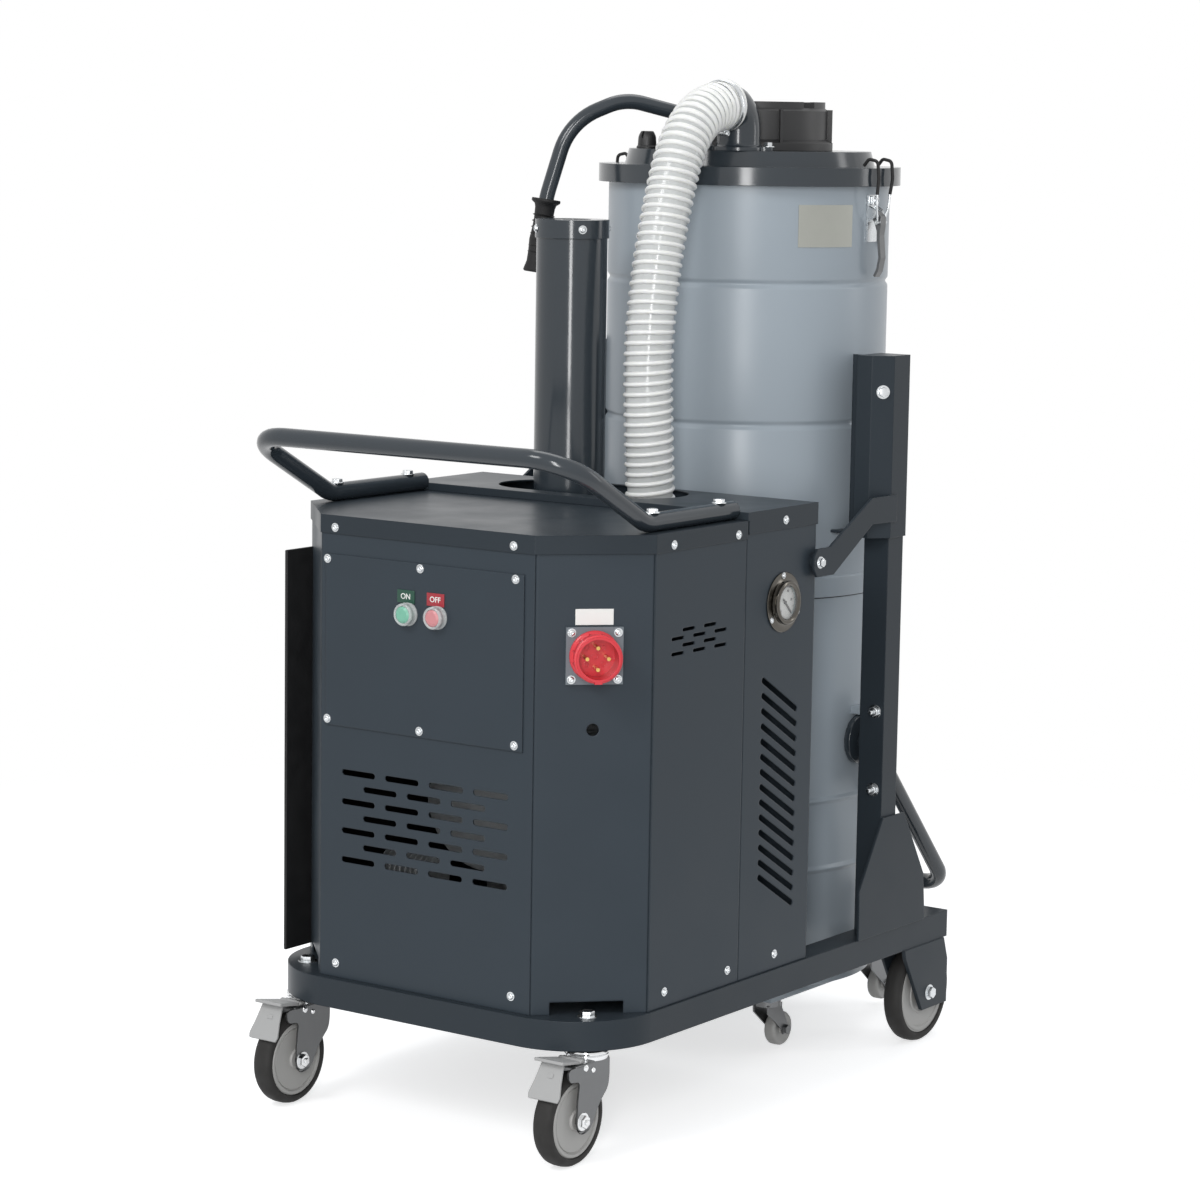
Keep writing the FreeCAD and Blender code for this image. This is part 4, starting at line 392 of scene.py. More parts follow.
def milky_vinyl(colours):
    """The hose: soft white vinyl that lets some light through and shines on each rib."""
    grained("milky_vinyl", colours.hose, {"Subsurface Weight": 0.25, "Subsurface Radius": (0.004, 0.004, 0.0035),
            "Subsurface Scale": 1.0, "Coat Weight": 0.3, "Coat Roughness": 0.2}, 2.0, 0.015, 0.03, 50.0, 0.0,
            (0.28, 0.4))


def clear_vinyl(colours):
    """The hose between its ribs: thin clear vinyl, a little clouded."""
    grained("clear_vinyl", colours.film, {"Alpha": 0.62, "Specular IOR Level": 0.6}, 5.0, 0.02, 0.02, 60.0, 0.0,
            (0.1, 0.2))


def red_polyamide(colours):
    """The inlet's collar: glossy red polyamide."""
    grained("red_polyamide", colours.inlet, {"Coat Weight": 0.2, "Coat Roughness": 0.2}, 1.5, 0.01, 0.04, 30.0, 0.5,
            (0.26, 0.36))


def grey_polyamide(colours):
    """The inlet's flange: grey polyamide with a fine eroded grain."""
    grained("grey_polyamide", colours.flange, {}, 0.8, 0.02, 0.04, 25.0, 0.8, (0.42, 0.52))


def green_legend(colours):
    """A green printed plate under clear lacquer."""
    grained("green_legend", colours.green, {}, 1.0, 0.005, 0.04, 10.0, 0.0, (0.3, 0.4))


def red_legend(colours):
    """A red printed plate under clear lacquer."""
    grained("red_legend", colours.red, {}, 1.0, 0.005, 0.04, 10.0, 0.0, (0.3, 0.4))


def white_print(colours):
    """White screen ink and white plates."""
    grained("white_print", colours.white, {}, 1.0, 0.004, 0.02, 15.0, 0.4, (0.35, 0.45))


def green_cap(colours):
    """The ON button: mint green seen through a milky boot."""
    grained("green_cap", colours.mint, {"Subsurface Weight": 0.2, "Subsurface Radius": (0.002, 0.002, 0.002)},
            1.0, 0.008, 0.03, 10.0, 0.0, (0.3, 0.4))


def pink_cap(colours):
    """The OFF button: rose seen through a milky boot."""
    grained("pink_cap", colours.rose, {"Subsurface Weight": 0.2, "Subsurface Radius": (0.002, 0.002, 0.002)},
            1.0, 0.008, 0.03, 10.0, 0.0, (0.3, 0.4))


def clear_silicone(colours):
    """The boots of the push buttons: clear silicone with a soft bloom."""
    grained("clear_silicone", colours.boot, {"Alpha": 0.45, "IOR": 1.41}, 1.5, 0.01, 0.02, 10.0, 0.0,
            (0.08, 0.16))


def dial_black(colours):
    """Black print and the dial's pointer."""
    grained("dial_black", colours.ink, {}, 0.8, 0.004, 0.05, 8.0, 0.0, (0.5, 0.6))


def dial_blue(colours):
    """The pale blue-green scale arc on the dial."""
    grained("dial_blue", colours.scale_arc, {}, 0.8, 0.004, 0.05, 8.0, 0.0, (0.4, 0.5))


def clear_glass(colours):
    """The gauge's window: flat glass."""
    blank("clear_glass", {"Alpha": 0.14, "IOR": 1.5, "Roughness": 0.03})


def contact_brass(colours):
    """The inlet's pins: turned brass."""
    grained("contact_brass", colours.brass, {"Metallic": 1.0}, 0.5, 0.006, 0.08, 6.0, 0.0, (0.2, 0.32))


def cast_aluminium(colours):
    """Motor and blower: sand-finished die casting."""
    grained("cast_aluminium", colours.casting, {"Metallic": 0.7}, 1.4, 0.06, 0.1, 30.0, 0.8, (0.45, 0.6))


def brushed_plate(colours):
    """The bare plate on the drum: thin brushed aluminium."""
    tree, shader, place = grained("brushed_plate", colours.plate, {"Metallic": 0.6}, 1.0, 0.004, 0.03, 20.0)
    stretch = add(tree, "ShaderNodeMapping", {"Scale": (0.05, 0.05, 1)}, {"Vector": place})
    lines = add(tree, "ShaderNodeTexNoise", {"Scale": 1400.0, "Detail": 2.0}, {"Vector": stretch.outputs["Vector"]})
    spread = add(tree, "ShaderNodeMapRange", {"To Min": 0.35, "To Max": 0.55}, {"Value": lines.outputs["Fac"]})
    tree.links.new(spread.outputs["Result"], shader.inputs["Roughness"])


def filter_felt(colours):
    """Needled polyester felt of the filter."""
    grained("filter_felt", colours.felt, {"Sheen Weight": 0.3}, 1.0, 0.2, 0.08, 25.0, 0.0, (0.8, 0.9))


FINISH_MAKERS = (
    satin_powder_coat, frame_powder_coat, gloss_enamel, drum_enamel, bright_zinc, pressed_steel, chrome_plate, polished_steel,
    black_nylon,
    black_rubber, tyre_rubber, grey_polypropylene, pale_polyamide, milky_vinyl, clear_vinyl, red_polyamide,
    grey_polyamide,
    green_legend, red_legend, white_print, green_cap, pink_cap, clear_silicone, dial_black, dial_blue,
    clear_glass, contact_brass, cast_aluminium, brushed_plate, filter_felt,
)

# Which finish each carried-over node wears; a name that ends in _ stands for its right and left copies.
NODE_FINISHES = {
    "satin_powder_coat": ("front_panel", "corner_panel_", "side_panel_", "rear_side_panel_", "back_panel",
                          "control_cover"),
    "frame_powder_coat": ("base_frame", "front_lid", "rear_lid", "drum_posts", "post_plates"),
    "gloss_enamel": ("silencer", "drum_lid", "lid_elbow", "shaker_lever", "lift_lever", "handle_bar"),
    "drum_enamel": ("filter_drum", "dust_bin"),
    "bright_zinc": ("bolts_and_clamps", "latch_plate_", "latch_bail_"),
    "polished_steel": ("gauge_case",),
    "pressed_steel": ("castor_fork_", "bin_fork_", "latch_lever_"),
    "black_nylon": ("shaker_cap", "relief_valve"),
    "black_rubber": ("seals", "suction_hose"),
    "tyre_rubber": ("castor_wheel_", "rear_wheel_"),
    "grey_polypropylene": ("bin_front_wheel_", "bin_rear_wheel_"),
    "pale_polyamide": ("brake_pedal_",),
    "red_polyamide": ("socket_shroud",),
    "grey_polyamide": ("socket_plate",),
    "green_cap": ("on_button",),
    "pink_cap": ("off_button",),
    "clear_silicone": ("button_bezels",),
    "dial_black": ("gauge_needle",),
    "clear_glass": ("gauge_lens",),
    "contact_brass": ("socket_pins",),
    "cast_aluminium": ("blower_housing", "blower_motor", "blower_impeller"),
    "filter_felt": ("filter_cartridge",),
}

COLOURS = {
    "cabinet": ("394148", "Powder coat of the cabinet"),
    "enamel": ("31383e", "Enamel of the frame, lids and tubes"),
    "drum": ("a2acb4", "Enamel of the drum and the bin"),
    "zinc": ("cfd2d4", "Bright zinc"),
    "pressing": ("717273", "Zinc-plated pressings"),
    "chrome": ("dddedf", "Chrome"),
    "case": ("5a5752", "Polished case of the gauge"),
    "nylon": ("262627", "Nylon of the shaker's cap"),
    "rubber": ("161617", "Rubber sleeves and seals"),
    "tyre": ("2a2928", "Tyres"),
    "centre": ("b3b2af", "Wheel centres"),
    "pedal": ("b0b0af", "Brake pedals"),
    "hose": ("f4f4f1", "Rib of the hose"),
    "film": ("e2e4e3", "Clear vinyl of the hose"),
    "inlet": ("d8323d", "Collar of the mains inlet"),
    "flange": ("6c747a", "Flange of the mains inlet"),
    "green": ("1d4a3a", "ON plate"),
    "red": ("a5303a", "OFF plate"),
    "white": ("f0f0ec", "White print and plates"),
    "mint": ("7fbfa6", "ON button"),
    "rose": ("d68f92", "OFF button"),
    "boot": ("f4f8f7", "Silicone boots"),
    "ink": ("18191b", "Black print"),
    "scale_arc": ("5f9ea3", "Scale arc of the gauge"),
    "brass": ("d9b36a", "Contact pins"),
    "casting": ("b9bcbe", "Castings of the blower"),
    "plate": ("a5a69f", "Bare plate on the drum"),
    "felt": ("cfcdc2", "Filter felt"),
}


class CleanerColours(bpy.types.PropertyGroup):
    """The colours that someone might change."""

    __annotations__ = {
        name: bpy.props.FloatVectorProperty(name=name.replace("_", " ").title(), description=text, size=3,
                                            subtype="COLOR", min=0.0, max=1.0, default=linear(code))
        for name, (code, text) in COLOURS.items()
    }


class CleanerSizes(bpy.types.PropertyGroup):
    """The sizes that someone might change."""

    screw_head: bpy.props.FloatProperty(name="Screw head", description="Radius of a panel screw's head",
                                        default=4.4 * MM, unit="LENGTH", precision=4)
    bolt_head: bpy.props.FloatProperty(name="Bolt head", description="Corner radius of a frame bolt's head",
                                       default=7.4 * MM, unit="LENGTH", precision=4)
    lamp_power: bpy.props.FloatProperty(name="Key lamp", description="Power of the main lamp", default=125.0,
                                        unit="POWER")


def colours():
    return bpy.context.scene.cleaner_colours


def sizes():
    return bpy.context.scene.cleaner_sizes


# The machine's pieces


class CLEANER_OT_finishes(bpy.types.Operator):
    """Make every finish and paint the carried-over nodes"""

    bl_idname = "cleaner.finishes"
    bl_label = "Finishes"

    def execute(self, context):
        for maker in FINISH_MAKERS:
            maker(colours())
        for finish, names in NODE_FINISHES.items():
            for name in names:
                for node in ((name + "right", name + "left") if name.endswith("_") else (name,)):
                    mesh = NODES[node].data
                    mesh.materials.clear()
                    mesh.materials.append(FINISHES[finish])
        return {"FINISHED"}


class CLEANER_OT_hose(bpy.types.Operator):
    """Make the clear suction hose, its spiral rib, its cuff and its clamps along one smooth line"""

    bl_idname = "cleaner.hose"
    bl_label = "Hose"

    ROUTE = ((427, 785), (418, 900), (411, 1030), (428, 1150), (460, 1258), (485, 1316), (521, 1354), (563, 1371),
             (595, 1373))
    FILM_STEPS, COIL_STEPS = 150, 28

    def line(self):
        """The hose's centre line as closely spaced points."""
        curve = bpy.data.curves.new("hose_line", "CURVE")
        curve.dimensions = "3D"
        spline = curve.splines.new("NURBS")
        spline.points.add(len(self.ROUTE) - 1)
        for point, (behind, up) in zip(spline.points, self.ROUTE):
            point.co = (*at(HOSE_X, behind, up), 1.0)
        spline.order_u = 3
        spline.use_endpoint_u = True
        curve.resolution_u = 24
        line = bmesh.new()
        add_curve(line, curve)
        points = [vert.co.copy() for vert in line.verts]
        line.free()
        return points

    def frames(self, points, reached, along):
        """The centre and the heading at a length along the line."""
        run = min(max(bisect.bisect_right(reached, along) - 1, 0), len(points) - 2)
        share = (along - reached[run]) / (reached[run + 1] - reached[run])
        headings = [(points[min(knot + 1, len(points) - 1)] - points[max(knot - 1, 0)]).normalized()
                    for knot in (run, run + 1)]
        heading = headings[0].lerp(headings[1], share).normalized()
        return points[run].lerp(points[run + 1], share), heading

    def bend(self, bm, points, reached):
        """Bend a shape that stands on Z round the hose's line."""
        for vert in bm.verts:
            centre, heading = self.frames(points, reached, vert.co.z)
            vert.co = centre + RIGHT * vert.co.x + heading.cross(RIGHT) * vert.co.y

    def rib(self, length):
        """A right-handed coil, packed a little closer towards the elbow."""
        bm = bmesh.new()
        ring = bmesh.ops.create_circle(bm, segments=8, radius=RIB_ROUND * MM, matrix=Matrix.Translation(
            (RIB_MIDDLE * MM, 0, 0)) @ Matrix.Rotation(HALF_TURN / 2, 4, "X"))["verts"]
        pitch = length / HOSE_COILS
        steps = HOSE_COILS * self.COIL_STEPS
        bmesh.ops.spin(bm, geom=ring + bm.edges[:], cent=(0, 0, 0), axis=(0, 0, 1), dvec=(0, 0, length / steps),
                       angle=2 * HALF_TURN * HOSE_COILS, steps=steps, use_merge=False, use_duplicate=False)
        for end in (True, False):
            tip = [edge for edge in bm.edges if edge.is_boundary and (edge.verts[0].co.z < length / 2) == end]
            bmesh.ops.contextual_create(bm, geom=tip)
        for vert in bm.verts:
            turn = math.atan2(vert.co.y, vert.co.x) / (2 * HALF_TURN)
            coil = round(vert.co.z / pitch - turn) + turn
            share = coil / HOSE_COILS
            vert.co.z += (1.1 * share - 0.1 * share ** 4) * length - coil * pitch
            vert.co.z = min(max(vert.co.z, 0), length)
        return bm

    def execute(self, context):
        points = self.line()
        reached = [0.0]
        for one, two in zip(points, points[1:]):
            reached.append(reached[-1] + (two - one).length)
        length = reached[-1]
        heights = [length / MM * step / self.FILM_STEPS for step in range(self.FILM_STEPS + 1)]
        bm = bmesh.new()
        lathe(bm, [(HOSE_FILM, up) for up in heights] + [(HOSE_BORE, up) for up in reversed(heights)], Matrix(), 48,
              closed=True)
        self.bend(bm, points, reached)
        film = piece("suction_hose_film", bm, "clear_vinyl", replaces=("suction_hose",), split=70)
        bm = self.rib(length)
        self.bend(bm, points, reached)
        rib = piece("suction_hose_rib", bm, "milky_vinyl", split=70, merge=False)
        bm = bmesh.new()
        end = length / MM
        lathe(bm, ((HOSE_FILM, end - 4.6), (35.6, end - 4.6), (36.6, end - 3.6), (36.6, end - 1), (35.6, end),
                   (HOSE_FILM, end)), Matrix(), 64, closed=True)
        self.bend(bm, points, reached)
        cuff = piece("suction_hose_cuff", bm, "milky_vinyl")
        bm = bmesh.new()
        band = ((35.2, 0), (36.4, 0), (36.8, 0.8), (36.4, 1.4), (36.4, 7.6), (36.8, 8.2), (36.4, 9), (35.2, 9))
        for along, turn in ((end - 15, HALF_TURN / 2), (6, 0)):
            centre, heading = self.frames(points, reached, along * MM)
            clamp = facing(centre, heading, RIGHT) @ Matrix.Rotation(turn, 4, "Z")
            lathe(bm, band, clamp, 64, closed=True)
            worm = clamp @ Matrix.Translation((0, 39 * MM, 4.5 * MM)) @ Matrix.Rotation(HALF_TURN / 2, 4, "Y")
            lathe(bm, ((0, -8), (2.8, -8), (3.3, -7), (3.3, 5), (4.2, 5), (4.4, 8), (3.6, 9), (1.4, 9), (1.2, 8), (0, 8)),
                  worm, 24)
            slab(bm, (9.4, 4, 12), worm @ Matrix.Translation((0, -1.6 * MM, -1 * MM)), 0.8)
        piece("hose_clamps", bm, "bright_zinc", replaces=("bolts_and_clamps",))
        return {"FINISHED"}


class CLEANER_OT_drum(bpy.types.Operator):
    """Make the filter's drum with its swages, the joint band, the seal and the suction inlet behind"""

    bl_idname = "cleaner.drum"
    bl_label = "Filter drum"

    GROOVE = ((0, -7.5), (0.4, -5.5), (1.7, -3.6), (3.1, -1.6), (3.5, 0), (3.1, 1.6), (1.7, 3.6), (0.4, 5.5), (0, 7.5))
    GROOVES_UP = (922.0, 1122.5)
    TOP, FLANGE, FLANGE_THICK = 1278.0, 216.0, 5.0
    INLET_UP, INLET_BORE, INLET_WALL, INLET_LONG = 800.0, 35.0, 3.0, 52.0

    def execute(self, context):
        inside = DRUM_RADIUS - DRUM_WALL
        low = SEAM_UP + 1.4
        outer = [(DRUM_RADIUS + out, up) for out, up in ((2.8, low), (3.6, low + 0.8), (3.8, low + 3), (3.8, 698.5),
                                                         (3.3, 701), (1.6, 702.6), (0, 703.2))]
        inner = [(inside, low)]
        for middle in self.GROOVES_UP:
            outer += [(DRUM_RADIUS - deep, middle + up) for deep, up in self.GROOVE]
            inner += [(inside - deep, middle + up) for deep, up in self.GROOVE]
        neck = self.TOP - self.FLANGE_THICK
        outer += [(DRUM_RADIUS, neck - 1.5), (DRUM_RADIUS + 1.5, neck), (self.FLANGE - 0.8, neck),
                  (self.FLANGE, neck + 0.8), (self.FLANGE, self.TOP - 0.8), (self.FLANGE - 0.8, self.TOP), (inside, self.TOP)]
        axis = Matrix.Translation(at(0, DRUM_BACK, 0))
        bm = bmesh.new()
        lathe(bm, outer + inner[::-1], axis, 160, closed=True)
        shell = bmesh.new()
        mouth = facing(at(0, DRUM_BACK, self.INLET_UP), BACK)
        bore, out = self.INLET_BORE, self.INLET_BORE + self.INLET_WALL
        end = DRUM_RADIUS + self.INLET_LONG
        bmesh.ops.create_cone(shell, cap_ends=True, segments=64, radius1=bore * MM, radius2=bore * MM, depth=90 * MM,
                              matrix=mouth @ Matrix.Translation((0, 0, DRUM_RADIUS * MM)))
        pierce(bm, shell)
        lathe(bm, ((bore, inside - 1), (bore, end - 0.8), (bore + 0.8, end), (out - 0.8, end), (out, end - 0.8),
                   (out, DRUM_RADIUS + 1.5), (out + 2, DRUM_RADIUS - 1), (out + 2, inside - 1)), mouth, 64, closed=True)
        piece("drum_shell", bm, "drum_enamel", replaces=("filter_drum",))
        bm = bmesh.new()
        lathe(bm, ((inside - 2, SEAM_UP), (DRUM_RADIUS + 0.6, SEAM_UP), (DRUM_RADIUS + 1, SEAM_UP + 0.7),
                   (DRUM_RADIUS + 0.6, low), (inside - 2, low)), axis, 160, closed=True)
        lathe(bm, ((inside - 2, 1278.2), (self.FLANGE, 1278.2), (self.FLANGE, 1283.8), (inside - 2, 1283.8)), axis, 128,
              closed=True)
        piece("drum_seals", bm, "black_rubber", replaces=("seals",))
        return {"FINISHED"}


class CLEANER_OT_dust_bin(bpy.types.Operator):
    """Make the dust bin with its swages, the dolly under it, its lugs and its fixed rear forks"""

    bl_idname = "cleaner.dust_bin"
    bl_label = "Dust bin"

    BEAD = ((0, -6.5), (0.5, -5), (2, -3.2), (3.4, -1.4), (3.8, 0), (3.4, 1.4), (2, 3.2), (0.5, 5), (0, 6.5))
    BEADS_UP = (272.8, 374.6)
    DOLLY_FRONT, DOLLY_MIDDLE, DOLLY_END, BAR = 605.0, 852.8, 984.0, 44.0
    LUG_LOW, LUG_HIGH, LUG_WIDE, LUG_END = 496.4, 12.0, 26.0, 221.0

    def execute(self, context):
        inside = DRUM_RADIUS - DRUM_WALL
        outer = [(0, BIN_FLOOR), (DRUM_RADIUS - 3, BIN_FLOOR), (DRUM_RADIUS - 0.9, BIN_FLOOR + 0.9),
                 (DRUM_RADIUS, BIN_FLOOR + 3)]
        for middle in self.BEADS_UP:
            outer += [(DRUM_RADIUS + proud, middle + up) for proud, up in self.BEAD]
        outer += [(DRUM_RADIUS, SEAM_UP - 0.8), (DRUM_RADIUS - 0.7, SEAM_UP - 0.1), (inside, SEAM_UP - 0.1)]
        floor = BIN_FLOOR + DRUM_WALL
        bm = bmesh.new()
        lathe(bm, [*outer, (inside, floor + 3), (inside - 3, floor), (0, floor)],
              Matrix.Translation(at(0, DRUM_BACK, 0)), 160)
        high = BIN_FLOOR - DOLLY_LOW
        middle = (BIN_FLOOR + DOLLY_LOW) / 2 - 0.1
        for side in (1, -1):
            for x, front, end in ((BIN_FORK_X, self.DOLLY_FRONT, self.DOLLY_MIDDLE),
                                  (BIN_REAR_X, self.DOLLY_MIDDLE, self.DOLLY_END)):
                slab(bm, (self.BAR, end - front, high), Matrix.Translation(at(x * side, (front + end) / 2, middle)), 2)
            reach = self.LUG_END - inside
            lug = at((self.LUG_END + inside) / 2 * side, DRUM_BACK, self.LUG_LOW + self.LUG_HIGH / 2)
            slab(bm, (reach, self.LUG_WIDE, self.LUG_HIGH), Matrix.Translation(lug), 1.5)
        for front in (self.DOLLY_FRONT + 12, self.DOLLY_MIDDLE):
            slab(bm, (2 * BIN_FORK_X, self.BAR, high), Matrix.Translation(at(0, front + self.BAR / 2, middle)), 2)
        piece("bin_shell", bm, "drum_enamel", "dust_bin", ("dust_bin",))
        bm = bmesh.new()
        for side in (1, -1):
            small_fork(bm, BIN_REAR_X * side, BIN_REAR_BACK)
        piece("bin_rear_forks", bm, "pressed_steel", "dust_bin", edge=0.5)
        return {"FINISHED"}


def pierce(bm, cutter):
    """Cut a closed shape out of another."""
    holders = []
    for name, made in (("whole", bm), ("cutter", cutter)):
        bmesh.ops.recalc_face_normals(made, faces=made.faces)
        mesh = bpy.data.meshes.new(name)
        made.to_mesh(mesh)
        holders.append(bpy.data.objects.new(name, mesh))
        bpy.context.scene.collection.objects.link(holders[-1])
    cutter.free()
    cut = holders[0].modifiers.new("cut", "BOOLEAN")
    cut.operation = "DIFFERENCE"
    cut.object = holders[1]
    bpy.context.view_layer.update()
    mesh = bpy.data.meshes.new_from_object(holders[0].evaluated_get(bpy.context.evaluated_depsgraph_get()))
    bm.clear()
    bm.from_mesh(mesh)
    for holder in holders:
        bpy.data.objects.remove(holder)


def small_fork(bm, x, behind):
    """A fork of the bin's small castors: a head, a bridge and two arms down to the axle."""
    axle = behind + BIN_TRAIL
    arm = ((behind - 19, 78), (behind - 18, 66), (axle - 9, BIN_AXLE_UP), (axle - 5.4, 27.1), (axle + 5.4, 27.1),
           (axle + 9, BIN_AXLE_UP), (behind + 19, 69.6), (behind + 19, 78))
    for start in (11, -13.5):
        sheet(bm, arm, 2.5, facing(at(x + start, 0, 0), RIGHT), 3)
    slab(bm, (27, 38, 3), Matrix.Translation(at(x, behind, 77.5)), 1)
    lathe(bm, ((0, 83.8), (19.2, 83.8), (20, 83), (20, 80), (18, 78.5), (0, 78.5)), Matrix.Translation(at(x, behind, 0)), 48)
    for arm in (1, -1):
        hex_head(bm, facing(at(x + 13.5 * arm, axle, BIN_AXLE_UP), RIGHT * arm), 6.5, 4)


class CLEANER_OT_handle(bpy.types.Operator):
    """Make the bent push handle"""

    bl_idname = "cleaner.handle"
    bl_label = "Push handle"

    def execute(self, context):
        low, high = 835.0, 927.0
        half = [at(265, 326.9, low), at(265, 122, low), at(265, -50, high)]
        other = [Vector((-place.x, place.y, place.z)) for place in reversed(half)]
        bm = bmesh.new()
        pipe(bm, half + other, (45, 65, 65, 45), 12.5)
        piece("push_handle", bm, "gloss_enamel", replaces=("handle_bar",), split=50)
        return {"FINISHED"}


class CLEANER_OT_elbow(bpy.types.Operator):
    """Make the elbow on the drum's lid with its flange"""

    bl_idname = "cleaner.elbow"
    bl_label = "Elbow"

    def execute(self, context):
        bm = bmesh.new()
        corners = [at(HOSE_X, ELBOW_BACK, behind) for behind in (PLATEAU_UP, ELBOW_UP)]
        corners.append(at(HOSE_X, ELBOW_BACK - 68, ELBOW_UP))
        pipe(bm, corners, (34,), ELBOW_RADIUS)
        foot = Matrix.Translation(at(HOSE_X, ELBOW_BACK, PLATEAU_UP))
        lathe(bm, ((30, 0), (37, 0), (37, 5), (35.5, 6), (33, 6.5), (31.6, 9), (31, 12)), foot, 64)
        turn = Matrix.Rotation(math.atan2(HOSE_X, 139.0), 4, "Z")
        ears = ((-50, -9), (-41, -13), (41, -13), (50, -9), (50, 9), (41, 13), (-41, 13), (-50, 9))
        sheet(bm, ears, 6, foot @ turn, 4)
        piece("elbow_pipe", bm, "gloss_enamel", replaces=("lid_elbow",), split=50)
        bm = bmesh.new()
        for side in (1, -1):
            hex_head(bm, foot @ turn @ Matrix.Translation((43 * side * MM, 0, 6 * MM)), 6.5, 5.5)
        piece("elbow_bolts", bm, "bright_zinc")
        return {"FINISHED"}


class CLEANER_OT_lift_lever(bpy.types.Operator):
    """Make the lever that lifts the bin, with its hubs and cams"""

    bl_idname = "cleaner.lift_lever"
    bl_label = "Lift lever"

    def execute(self, context):
        bm = bmesh.new()
        half = [at(235, 757, 455), at(235, 985, 205)]
        other = [Vector((-place.x, place.y, place.z)) for place in reversed(half)]
        pipe(bm, half + other, (42, 42), 12)
        for side in (1, -1):
            hub = facing(at(211 * side, 757, 455), RIGHT * side)
            lathe(bm, ((8.2, 0), (15, 0), (15, 35.3), (13.8, 36.5), (8.2, 36.5)), hub, 48, closed=True)
            cam = facing(at(211 * side, 753, 459.75), RIGHT * side)
            lathe(bm, ((14, 0), (35, 0), (36, 1), (36, 9), (35, 10), (14, 10)), cam, 64, closed=True)
        piece("lift_lever_bar", bm, "gloss_enamel", "lift_lever", ("lift_lever",), split=50)
        return {"FINISHED"}


class CLEANER_OT_shaker(bpy.types.Operator):
    """Make the bent lever of the shaker with its rubber grip"""

    bl_idname = "cleaner.shaker"
    bl_label = "Shaker lever"

    ROUTE = ((96, 1358), (187, 1380), (268, 1346), (300, 1238), (314, 1136))

    def execute(self, context):
        aside = math.sqrt(0.5)
        route = [at(-radial * aside, DRUM_BACK - radial * aside, up) for radial, up in self.ROUTE]
        bm = bmesh.new()
        pipe(bm, route, (80, 95, 150), 11)
        piece("shaker_bar", bm, "gloss_enamel", "shaker", ("shaker_lever",), split=50)
        along = (route[-1] - route[-2]).normalized()
        length = (route[-1] - route[-2]).length / MM
        bm = bmesh.new()
        grip = facing(route[-2] + along * 4 * MM, along)
        profile = ((10.5, 0), (20, 0), (21, 1), (21, 4), (19.5, 5.5), (16, 8), (14.6, 13), (13.8, 30), (14.6, 45),
                   (16.2, 60), (15.2, 78), (15.4, 92), (18.2, length), (18.6, length + 2), (17, length + 4), (0, length + 4))
        lathe(bm, profile, grip, 48)
        for ridge in range(7):
            up = 24 + ridge * 9
            lathe(bm, ((13, up - 2), (16.6, up), (13, up + 2)), grip, 48)
        piece("shaker_grip", bm, "black_rubber", "shaker", split=50)
        return {"FINISHED"}


class CLEANER_OT_knob(bpy.types.Operator):
    """Make the slotted knob of the relief valve on the lid"""

    bl_idname = "cleaner.knob"
    bl_label = "Relief valve"

    def execute(self, context):
        foot = Matrix.Translation(at(-124, 672, PLATEAU_UP))
        bm = bmesh.new()
        lathe(bm, ((0, 0), (15.5, 0), (15.5, 2.4), (14.6, 3.4), (13.8, 4), (13, 16), (12.2, 18.6), (9.8, 23.6), (8.8, 24.7),
                   (7.6, 25), (0, 25)), foot, 48)
        slit = bmesh.new()
        slab(slit, (3, 40, 14), foot @ Matrix.Translation((0, 0, 22 * MM)), 0)
        pierce(bm, slit)
        piece("relief_knob", bm, "black_nylon", replaces=("relief_valve",))
        return {"FINISHED"}


class CLEANER_OT_latches(bpy.types.Operator):
    """Make the sleeved wires of the two latches and the bright screws of their plates"""

    bl_idname = "cleaner.latches"
    bl_label = "Latches"

    LEG, SLEEVE_LOW, PLATE_OUT, PLATE_TOP = 20.0, 1250.0, 208.7, 1249.0

    def execute(self, context):
        for hand, side in SIDES:
            turn = 0 if side > 0 else HALF_TURN
            place = Matrix.Translation(at(0, DRUM_BACK, 0)) @ Matrix.Rotation(turn + math.radians(LATCH_TURN * side), 4, "Z")
            body = "latch_bail_" + hand
            sleeves, wires = bmesh.new(), bmesh.new()
            for leg in (self.LEG, -self.LEG):
                over = ((RIM_RADIUS + 5, leg * 0.92, self.SLEEVE_LOW), (RIM_RADIUS + 8, leg, RIM_TOP - 15),
                        (RIM_RADIUS + 5.5, leg, RIM_TOP + 10), (RIM_RADIUS - 9, leg, RIM_TOP + 13),
                        (RIM_RADIUS - 17, leg, RIM_TOP + 3.2))
                pipe(sleeves, [place @ (Vector(spot) * MM) for spot in over], (40, 7, 5), 2.4)
                legs = ((BAIL_OUT, leg * 0.45, BAIL_UP), (RIM_RADIUS + 4, leg * 0.86, 1232),
                        (RIM_RADIUS + 5, leg * 0.92, self.SLEEVE_LOW + 2))
                pipe(wires, [place @ (Vector(spot) * MM) for spot in legs], (24,), 1.7)
            bar = [place @ Vector((BAIL_OUT * MM, end * MM, BAIL_UP * MM)) for end in (13, -13)]
            pipe(wires, bar, (), 3)
            piece("latch_sleeves_" + hand, sleeves, "black_rubber", body, (body,), split=50)
            piece("latch_wires_" + hand, wires, "bright_zinc", body, split=50)
            bm = bmesh.new()
            ahead = place @ facing(Vector((self.PLATE_OUT * MM, 0, (self.PLATE_TOP - 8) * MM)), RIGHT)
            slab(bm, (16, 13, 5), ahead @ Matrix.Translation((0, 0, 2.5 * MM)), 1)
            screw(bm, ahead @ Matrix.Translation((0, 0, 5 * MM)), 4.6)
            piece("latch_block_" + hand, bm, "bright_zinc", split=40)
        return {"FINISHED"}


